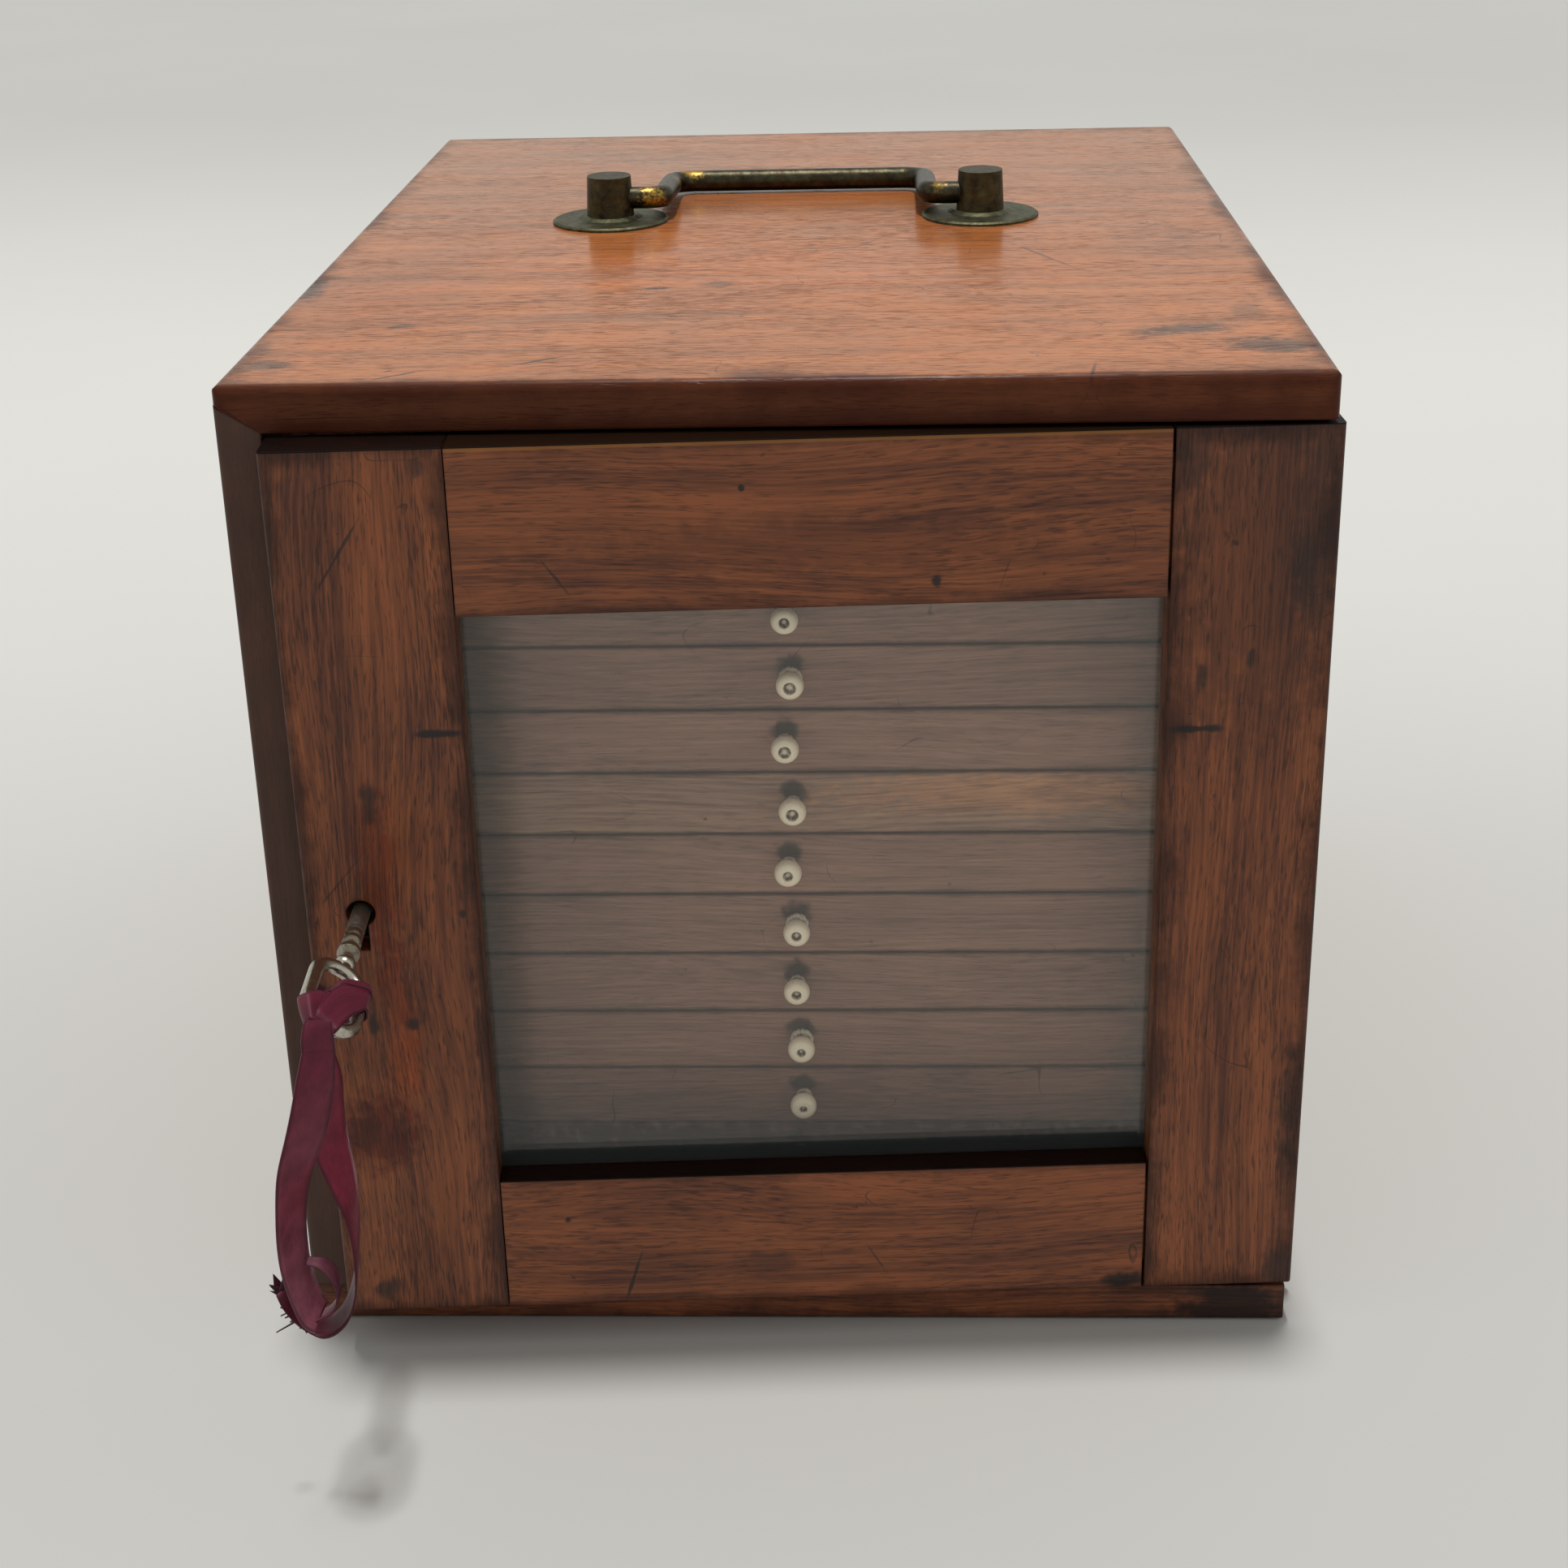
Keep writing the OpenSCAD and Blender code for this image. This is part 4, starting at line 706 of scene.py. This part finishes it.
# the fringe's threads: a root on the cut end, the way the tongue points in degrees, its length and its width
THREADS = [
    (-17.2, 2.2, 51.6, 105, 3.8, 2.6), (-16.2, 2.2, 51.6, 88, 4.2, 2.2), (-16.8, 2.2, 51, 135, 3.4, 2.4),
    (-15.4, 2.2, 51, 70, 2.6, 2), (-16.2, 2.2, 49, 165, 1.9, 2.2), (-16, 2.2, 47, 180, 1.6, 2.2),
    (-15, 2.1, 45, 195, 1.8, 2.2), (-14.2, 2, 43.8, 215, 2, 2.2), (-14.6, 2, 43.2, 216, 6.4, 0.5),
    (-13, 2, 42.6, 235, 1.8, 2), (-12, 1.9, 42, 255, 1.5, 2), (-16.6, 2.2, 50, 150, 3.2, 1.2),
    (-10.6, 1.8, 41.4, 265, 1.2, 1.8), (-15.6, 2.1, 45.8, 205, 2.4, 1.4)]
# the hitch's bands: both edges of a band at each step, as distance out, sideways and height in the bow's plane
HITCH = [
    # over the left limb
    [(42.5, -2.5, -2.5, 49.6, -1.5, -2.6), (44, -5.6, -2.5, 50.8, -3, -2.4), (45.2, -7.5, -0.6, 51.8, -3.8, -1),
     (45.4, -6.6, 1.8, 52.2, -3.9, 0.4), (43.2, -4.8, 2.2, 52.3, -3.4, 0.8), (42.4, -2.2, 2.3, 52.3, -2.4, 0.8),
     (43.8, 1.2, 2.2, 52.3, -1.2, 0.6)],
    # over the right limb, on top of the first
    [(33, 2.5, -2.5, 40.5, 3.5, -2.5), (31, 7, -2.2, 38, 7.4, -2.2), (30.4, 7.9, 0, 37.8, 8.3, 0),
     (30.6, 6.4, 2.1, 39.2, 6.6, 2.2), (33.4, 2.2, 2.5, 42.6, 5, 2.5), (37.6, -0.8, 2.8, 46, 3.6, 2.7),
     (43, -2.6, 2.9, 49.6, 2.6, 2.3), (48.8, -3.6, 2.4, 51.6, 2.2, 1.8), (51.8, -3.2, 0.6, 52.3, 1.8, 0.4)],
    # its folded upper edge
    [(29.5, 7.7, 0.2, 31.5, 8.1, 0.4), (29.8, 5.9, 2.4, 32.4, 6.1, 2.9), (31.7, 2.4, 2.6, 34.3, 2.6, 3),
     (33.8, -0.2, 2.2, 36.2, -0.2, 2.7), (35.8, -1.6, 0.2, 38, -1.8, 0.4)],
    # under the bow, seen dark through its ring
    [(33, -5.4, -2.5, 42, -5.8, -2.6), (31.5, 0, -2.8, 43.5, 0, -2.9), (31.5, 5.6, -2.5, 41, 6, -2.6)]]


# Operators

class CABINET_OT_case(bpy.types.Operator):
    """Finishes the case: top, bottom, sides, back and their screws"""
    bl_idname = "cabinet.case"
    bl_label = "Case boards"

    def execute(self, context):
        tones = wood_tones(context)
        top = np.array(tones["top"])
        bleached = dict(tones, light=tuple(top * 1.3), middle=tuple(top), dark=tuple(top * 0.62),
                        pore="#5A2A17", grime="#43211A")
        # the top is painted greyer towards the back, a painted reflection on the polish, and dark and dull along its
        # front edge
        front = [(1, -20, 180, "#86705F", 0.35), (1, -153.0, -154.2, "#4A2418", 0.86)]
        mahogany(POLISHED + "top", "top_board", "X", 1.0, bleached, dirt=(5.0, 0.8), pores=1.5,
                 marks=[MITRE_MARK, *face_marks(2, 240, TOP_MARKS)], polish=0.17, gloss=0.30, edges=front)
        mahogany(POLISHED + "bottom", "bottom_board", "X", 2.0, tones, dirt=(4.0, 0.7),
                 marks=[((108, -155, 4), (16, 6, 8), (0, 0, 0), "#160F0E", 0.9)], polish=0.45)
        mahogany(POLISHED + "left", "left_side", "Z", 3.0, tones, dirt=(7.0, 0.7), polish=0.38,
                 edges=[(1, -153.6, -154.8, "#57443C", 0.85)])
        mahogany(POLISHED + "right", "right_side", "Z", 4.0, tones, dirt=(8.0, 0.8), polish=0.38)
        mahogany(POLISHED + "back", "back_panel", "Z", 5.0, tones, dirt=(8.0, 0.7), polish=0.5, lift=-0.05)
        dress(worn_steel("blackened_screw_steel", base="#5A554C"), "back_screws")
        return {"FINISHED"}


class CABINET_OT_door(bpy.types.Operator):
    """Finishes the door's frame and its glass beads"""
    bl_idname = "cabinet.door"
    bl_label = "Door frame"

    def execute(self, context):
        tones = wood_tones(context)
        front = board_box("lock_stile", True)[0][1]
        # the door's top face is painted near black and dull: painted shade under the top board
        painted_top_shade = [(2, 228.45, 228.6, "#0C0706", 0.97)]
        mahogany(POLISHED + "lock_stile", "lock_stile", "Z", 6.0, tones, True, dirt=(3.6, 0.72),
                 marks=face_marks(1, front, LOCK_STILE_MARKS), edges=painted_top_shade, pores=1.2, lift=-0.03)
        mahogany(POLISHED + "hinge_stile", "hinge_stile", "Z", 7.0, tones, True, dirt=(4.6, 0.75),
                 marks=face_marks(1, front, HINGE_STILE_MARKS), edges=painted_top_shade, pores=1.15)
        # a thin bright band along the top rail's front arris is a painted highlight, above it the painted shade of the
        # top face
        arris_highlight_and_top_shade = [(2, 227.7, 227.9, "#A8743C", 0.5), *painted_top_shade]
        mahogany(POLISHED + "top_rail", "top_rail", "X", 8.0, tones, True, dirt=(2.6, 0.55),
                 marks=face_marks(1, front, TOP_RAIL_MARKS), edges=arris_highlight_and_top_shade, lift=0.04)
        mahogany(POLISHED + "bottom_rail", "bottom_rail", "X", 9.0, tones, True, dirt=(2.6, 0.5),
                 marks=face_marks(1, front, BOTTOM_RAIL_MARKS), edges=[(2, 46.3, 46.6, "#120C0B", 0.96)], lift=0.07)
        mahogany("stained_bead_mahogany", "glass_beads", "X", 10.0, tones, True, dirt=(2.0, 0.5), polish=0.5)
        return {"FINISHED"}


class CABINET_OT_glazing(bpy.types.Operator):
    """Puts the old window glass in the door"""
    bl_idname = "cabinet.glazing"
    bl_label = "Glazing"

    def execute(self, context):
        dress(window_glass(), "glass_pane")
        return {"FINISHED"}


class CABINET_OT_trays(bpy.types.Operator):
    """Finishes the trays, their runners and the felts in the coin recesses"""
    bl_idname = "cabinet.trays"
    bl_label = "Coin trays"

    def execute(self, context):
        tones = dict(wood_tones(context))
        felt = context.scene.cabinet_felt
        base = np.array(context.scene.cabinet_wood.tray)
        tones.update(light=tuple(base * 1.35), middle=tuple(base), dark=tuple(base * 0.68))
        golden = dict(tones, light="#AE896B", middle="#9C7661")
        wool = wool_felt(tuple(felt.wool))
        for i, number in enumerate(TRAYS):
            name = f"tray_{number}"
            lo, hi = board_box(name)
            # the second tray is darker, painted shade behind the bottom rail; the eighth has a bright patch, a painted
            # pool of light; and most have a dark spot above the knob, its painted shadow
            rows = {1: [(0, lo[2] + 8, 150, 4, 12, 0, "#2A2220", 0.75)],
                    7: [(56, lo[2] + 10, 46, 3, 6, 0, (1.5, 1.22, 0.9), 0.9)]}.get(i, [])
            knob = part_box(f"knob_{number}")
            if number not in ("11", "13"):
                rows.append(((knob[0].x + knob[1].x) * 500, knob[1].z * 1000 - 0.4, 3.6, 3, 3.2, 0, "#17100E", 0.85))
            mahogany(f"waxed_mahogany_{name}", name, "X", 11.0 + i, golden if i == 7 else tones, dirt=(0.7, 0.5),
                     marks=face_marks(1, lo[1], rows), polish=0.5, figure=0.6, pores=0.45,
                     lift=0.03 * math.sin(i * 2.4))
            dress(wool, self.felts(i, number, lo, hi, felt))
        for number, name in enumerate(("left_liner", "right_liner", "head_fillet")):
            mahogany(f"waxed_mahogany_{name}", name, "Y" if number < 2 else "X", 30.0 + number, tones,
                     dirt=(1.5, 0.5), polish=0.55)
        return {"FINISHED"}

    def felts(self, i, number, lo, hi, felt):
        """Felt discs on a grid of recesses: each is a short drum whose rim is a circle of the recess's radius less
        the gap. It lies a hair above the floor, and its upper edge is cut back."""
        hair, edge = 0.02, 0.3
        recess = RECESSES[i]
        y0, y1, z = lo[1] + TRAY_FRONT, hi[1] - TRAY_BACK, lo[2] + TRAY_FLOOR
        columns = int((TRAY_WIDTH - LAND) // (recess + LAND))
        rows = int((y1 - y0 - LAND) // (recess + LAND))
        x = (np.arange(columns) + 0.5 - columns / 2) * (TRAY_WIDTH - LAND) / columns
        y = y0 + LAND / 2 + (np.arange(rows) + 0.5) * (y1 - y0 - LAND) / rows
        radius = recess / 2 - felt.gap * 1000
        thick = felt.thickness * 1000
        profile = np.array([[0, hair], [radius, hair], [radius, thick * 0.8], [radius - edge, thick], [0, thick]])
        disc = turned(profile, 20)
        centres = np.stack(np.meshgrid(x, y, [z], indexing="ij"), -1).reshape(-1, 1, 1, 3)
        starts = np.arange(len(centres))[:, None, None] * disc[..., 0].size
        faces = (grid_faces(*disc.shape[:2], closed=True) + starts).reshape(-1, 4)
        made = piece(f"coin_felts_{number}", (disc + centres) / 1000, faces, smooth=False)
        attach(made, f"tray_body_{number}")
        return made


class CABINET_OT_knobs(bpy.types.Operator):
    """Turns the thirteen bone knobs"""
    bl_idname = "cabinet.knobs"
    bl_label = "Tray knobs"

    def execute(self, context):
        sizes = context.scene.cabinet_knobs
        bone = turned_bone(tuple(sizes.bone), tuple(sizes.dirt))
        chance = np.random.default_rng(13)
        for number in TRAYS:
            lo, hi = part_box(f"knob_{number}")
            x, z, front = (lo.x + hi.x) / 2, (lo.z + hi.z) / 2, lo.y + sizes.reach
            r = sizes.radius * chance.uniform(0.95, 1.0)
            d, reach = sizes.dimple * chance.uniform(0.8, 1.25), sizes.reach
            deep = chance.uniform(0.05, 0.11)
            collar = 0.86 if number in ("04", "06", "10") else 0.62
            # radius, distance out of the tray, and dirt in the groove: shank, collar, head and dimple
            rows = eased([
                [0, -SHANK[1], 0], [SHANK[0], -SHANK[1], 0], [SHANK[0], 0, 0.6], [r * collar, 0, 0.9],
                [r * collar, reach * 0.05, 0.7], [r * collar * 0.97, reach * 0.15, 0.4],
                *(np.array(HEAD) * (r, reach, 1)), [d * 1.15, reach * 0.985, 0.35], [d, reach * (0.96 - deep), 0.9],
                [d * 0.72, reach * (0.95 - deep * 1.6), 1], [d * 0.45, reach * (0.95 - deep), 0.6],
                [0, reach * (0.96 - deep * 0.6), 0.4]], 88)
            rows[:, 0] = np.clip(rows[:, 0], 0, None)
            spun = turned(rows[:, :2], sizes.segments)
            points = np.stack([x + spun[..., 0], front - spun[..., 2], z + spun[..., 1]], 2)
            dirt = np.repeat(np.clip(rows[:, 2], 0, 1), sizes.segments)
            made = piece(f"turned_knob_{number}", points,
                         grid_faces(len(rows), sizes.segments, closed=True), dirt=dirt)
            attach(made, f"tray_body_{number}")
            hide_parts(f"knob_{number}")
            dress(bone, made)
        return {"FINISHED"}


class CABINET_OT_metalwork(bpy.types.Operator):
    """Finishes the handle, hinges, lock, screws and key"""
    bl_idname = "cabinet.metalwork"
    bl_label = "Metalwork"

    def execute(self, context):
        lo, hi = (np.array(c) * 1000 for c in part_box("handle_bail"))
        gold = [((lo[0] + 12, 14, 246.2), (4.5, 4, 4), 0.85), ((lo[0] + 18, lo[1] + 30, 245), (3, 4, 4), 0.4),
                ((-32, hi[1] - 3, 245.5), (6, 4, 3.2), 0.6), ((hi[0] - 12, 14, 247.5), (3, 3, 3), 0.35)]
        dress(aged_brass("rubbed_cast_brass_bail", gold, rough=0.36), "handle_bail")
        dress(aged_brass("patinated_turned_brass_posts", base="#574A2E", rough=0.45), "handle_posts")
        dress(aged_brass("patinated_sheet_brass_roses", olive=0.7, base="#5F5A44", patina="#322F21", rough=0.5),
              "handle_roses")
        dress(aged_brass("lacquered_hinge_brass", base="#8A6C35", olive=0.15), "hinge_frame_leaves",
              "hinge_door_leaves", "hinge_pins", "strike_plate", "handle_nuts")
        # the lock case is painted dark: painted shade inside the keyhole
        dress(aged_brass("keyhole_shade_lock_brass", base="#3A3020", patina="#15110C", olive=0.1, rough=0.6), "lock_case")
        dress(aged_brass("slotted_screw_brass", base="#94763C", olive=0.1, rough=0.34), "hinge_frame_screws",
              "hinge_door_screws", "lock_screws", "strike_screws")
        dress(worn_steel("filed_key_steel", base="#BCB7AB", rust="#8C857A", rough=0.22, barrel=9.0), "door_key")
        dress(worn_steel("filed_bolt_steel", base="#7D786C"), "lock_bolt")
        return {"FINISHED"}


class CABINET_OT_ribbon(bpy.types.Operator):
    """Hangs the satin ribbon on the key's bow"""
    bl_idname = "cabinet.ribbon"
    bl_label = "Ribbon"

    def execute(self, context):
        sizes = context.scene.cabinet_ribbon
        far = (KEY + OUT * BOW_END) * 1000
        grids, maps, total = [], [], 0.0
        for route, start, cup, ripple in STRANDS:
            route = np.array(route)
            share = float(np.mean(route[:, 4]))
            route[:, :2] += far[:2]
            route[:, 4] *= sizes.width * 1000
            grid, uv, run = strip(route, cup=cup, ripple=ripple)
            uv[..., 1] += start
            grids.append(grid)
            maps.append(uv)
            total += run * share
        tails = cloth("ribbon_tails", grids, maps, sizes.thickness)
        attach(tails, "door")
        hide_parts("ribbon")
        fringe = self.fringe(far)
        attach(fringe, "door")
        wrap = self.wrap(sizes)
        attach(wrap, "key")
        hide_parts("ribbon_loop")
        dress(satin_ribbon(tuple(sizes.satin)), tails, fringe, wrap)
        return {"FINISHED"}

    def fringe(self, far):
        """Torn threads at the cut end: each is a flat tongue along a short straight path, its width falling evenly
        to almost nothing at its tip."""
        chance = np.random.default_rng(5)
        grids, maps = [], []
        for *root, lean, reach, wide in THREADS:
            lean = math.radians(lean + chance.uniform(-8, 8))
            step = np.linspace(0, 1, 5)[:, None]
            line = root + np.array([math.cos(lean), chance.uniform(-0.3, 0.3), math.sin(lean)]) * reach * step
            route = np.concatenate([line, np.full((5, 1), chance.uniform(15, 50)), wide * (1.04 - step)], 1)
            route[:, :2] += far[:2]
            grid, uv, _ = strip(route, columns=3, count=6)
            uv[..., 1] += COLOUR_LENGTH - 2
            grids.append(grid)
            maps.append(uv)
        return cloth("ribbon_fringe", grids, maps, 0.0003)

    def wrap(self, sizes):
        """The knot round the far half of the bow: bands that come from under its two limbs, lie over them and meet
        at its end. A point of a band is its first edge plus its share of the way to the second, raised by bulge
        times four times that share times one minus the share."""
        bulge = 0.3
        side = SIDE * math.cos(BOW_TURN) - UP * math.sin(BOW_TURN)
        rise = UP * math.cos(BOW_TURN) + SIDE * math.sin(BOW_TURN)
        plane = np.stack([OUT, side, rise])
        share = np.linspace(0, 1, 9)
        part = share[None, :, None]
        grids, maps = [], []
        for band in HITCH:
            rows = eased(band, 40)
            first, second = rows[:, :3] @ plane, rows[:, 3:] @ plane
            outer = np.cross(np.gradient(first + second, axis=0), second - first)
            outer /= np.linalg.norm(outer, axis=1)[:, None] + 1e-9
            grid = first[:, None] * (1 - part) + second[:, None] * part
            grid = grid - outer[:, None] * bulge * 4 * part * (1 - part)
            grids.append(grid / 1000 + KEY)
            # the distance is cut to a tenth, so that the dye hardly changes along the knot
            maps.append(ribbon_uv(share - 0.5, travelled(first + second) / 2 * 0.1))
        return cloth("ribbon_hitch", grids, maps, sizes.thickness)


class CABINET_OT_stage(bpy.types.Operator):
    """Lays the pale floor, which darkens far behind the cabinet, and sets the light and the camera"""
    bl_idname = "cabinet.stage"
    bl_label = "Floor, light and camera"

    def execute(self, context):
        stage = context.scene.cabinet_stage
        rings = np.concatenate([np.linspace(0, 1, 12), np.linspace(1.5, stage.floor_radius, 12)])
        below = -0.0003     # just clear of the cabinet's underside
        points = turned(np.stack([rings, np.full(len(rings), below)], 1), 64)
        floor = piece("floor", points, grid_faces(len(rings), 64, closed=True))
        if floor.data.polygons[0].normal.z < 0:
            floor.data.flip_normals()
        material, tree, shader = fresh("painted_board_floor", Roughness=0.75, Specular_IOR_Level=0.3)
        place = node(tree, "TexCoord").outputs["Object"]
        shade = noise(tree, place, 3.0, 3.0)
        shade = spread(tree, shade, 0.3, 0.7, 0.985, 1.015)
        # the floor falls off into shade behind the cabinet and a little towards the camera
        _, behind, _ = split(tree, place)
        for start, end, low, high in ((0.6, 1.9, 1.0, 0.74), (-0.25, 0.55, 0.80, 1.0)):
            shade = maths(tree, "MULTIPLY", shade, spread(tree, behind, start, end, low, high, soft=True))
        tint = scaled(tree, tuple(stage.floor), shade)
        fill(tree, shader, {"Base Color": tint})
        dress(material, floor)
        world = bpy.data.worlds.new("even light")
        world.use_nodes = True
        tree = world.node_tree
        tree.nodes.clear()
        path = node(tree, "LightPath").outputs
        seen = maths(tree, "MAXIMUM", path["Is Camera Ray"], path["Is Glossy Ray"])
        seen = maths(tree, "MAXIMUM", seen, path["Is Transmission Ray"])
        light = node(tree, "Background", {"Color": (1, 1, 1), "Strength": stage.sky_light})
        shown = node(tree, "Background", {"Color": tuple(stage.sky), "Strength": 1.0})
        node(tree, "OutputWorld", {"Surface": mixed(tree, seen, light, shown)})
        context.scene.world = world
        lamp = bpy.data.lights.new("soft lamp overhead", "SUN")
        lamp.energy = stage.lamp
        lamp.angle = math.radians(5)    # a wide sun, for soft edges of the shadows
        lamp_object = bpy.data.objects.new("soft lamp overhead", lamp)
        lamp_object.rotation_euler = (math.radians(-3.4), 0, 0)
        lamp_object.location = (0, 0, 2)
        context.scene.collection.objects.link(lamp_object)
        context.scene.view_settings.view_transform = "Standard"
        self.camera(context, stage)
        return {"FINISHED"}

    def camera(self, context, stage):
        """Stands the camera where the photograph was taken from: pitched down, turned and rolled as worked out
        from the corners of the box."""
        pitch, yaw, roll = (math.radians(a) for a in (21.882, 2.542, -1.458))
        look = (Matrix.Rotation(yaw, 3, "Z") @ Matrix.Rotation(math.radians(90) - pitch, 3, "X")
                @ Matrix.Rotation(roll, 3, "Z"))
        data = bpy.data.cameras.new("camera")
        data.sensor_width = 36
        data.lens = stage.lens
        data.shift_x, data.shift_y = 0.001, -0.0756     # the photo's uprights were straightened
        data.clip_start, data.clip_end = 0.01, 50
        thing = bpy.data.objects.new("camera", data)
        stand = (0.02282, -0.64879, 0.37328)
        thing.matrix_world = Matrix.Translation(stand) @ look.to_4x4()
        context.scene.collection.objects.link(thing)
        context.scene.camera = thing


class CABINET_PT_pieces(bpy.types.Panel):
    """Lists the cabinet's pieces and their settings"""
    bl_idname = "CABINET_PT_pieces"
    bl_label = "Coin Cabinet"
    bl_space_type = "VIEW_3D"
    bl_region_type = "UI"
    bl_category = "Coin Cabinet"

    def draw(self, context):
        for operator in OPERATORS:
            self.layout.operator(operator.bl_idname)
        for name, group in GROUPS.items():
            box = self.layout.box()
            for key in group.__annotations__:
                box.prop(getattr(context.scene, name), key)


def wood_tones(context):
    """The wood colours by name."""
    wood = context.scene.cabinet_wood
    return {key: tuple(getattr(wood, key)) for key in ("light", "middle", "dark", "pore", "grime", "top")}


GROUPS = {"cabinet_wood": WoodTones, "cabinet_knobs": KnobSizes, "cabinet_ribbon": RibbonSizes,
          "cabinet_felt": FeltSizes, "cabinet_stage": StageSizes}
OPERATORS = [CABINET_OT_stage, CABINET_OT_case, CABINET_OT_door, CABINET_OT_glazing, CABINET_OT_trays,
             CABINET_OT_knobs, CABINET_OT_metalwork, CABINET_OT_ribbon]
CLASSES = [*GROUPS.values(), *OPERATORS, CABINET_PT_pieces]


def register():
    for kind in CLASSES:
        bpy.utils.register_class(kind)
    for name, group in GROUPS.items():
        setattr(bpy.types.Scene, name, PointerProperty(type=group))


def unregister():
    for name in GROUPS:
        delattr(bpy.types.Scene, name)
    for kind in reversed(CLASSES):
        bpy.utils.unregister_class(kind)


def main():
    register()
    bpy.ops.cabinet.stage()
    bpy.ops.cabinet.case()
    bpy.ops.cabinet.door()
    bpy.ops.cabinet.glazing()
    bpy.ops.cabinet.trays()
    bpy.ops.cabinet.knobs()
    bpy.ops.cabinet.metalwork()
    bpy.ops.cabinet.ribbon()


if __name__ == "__main__":
    main()
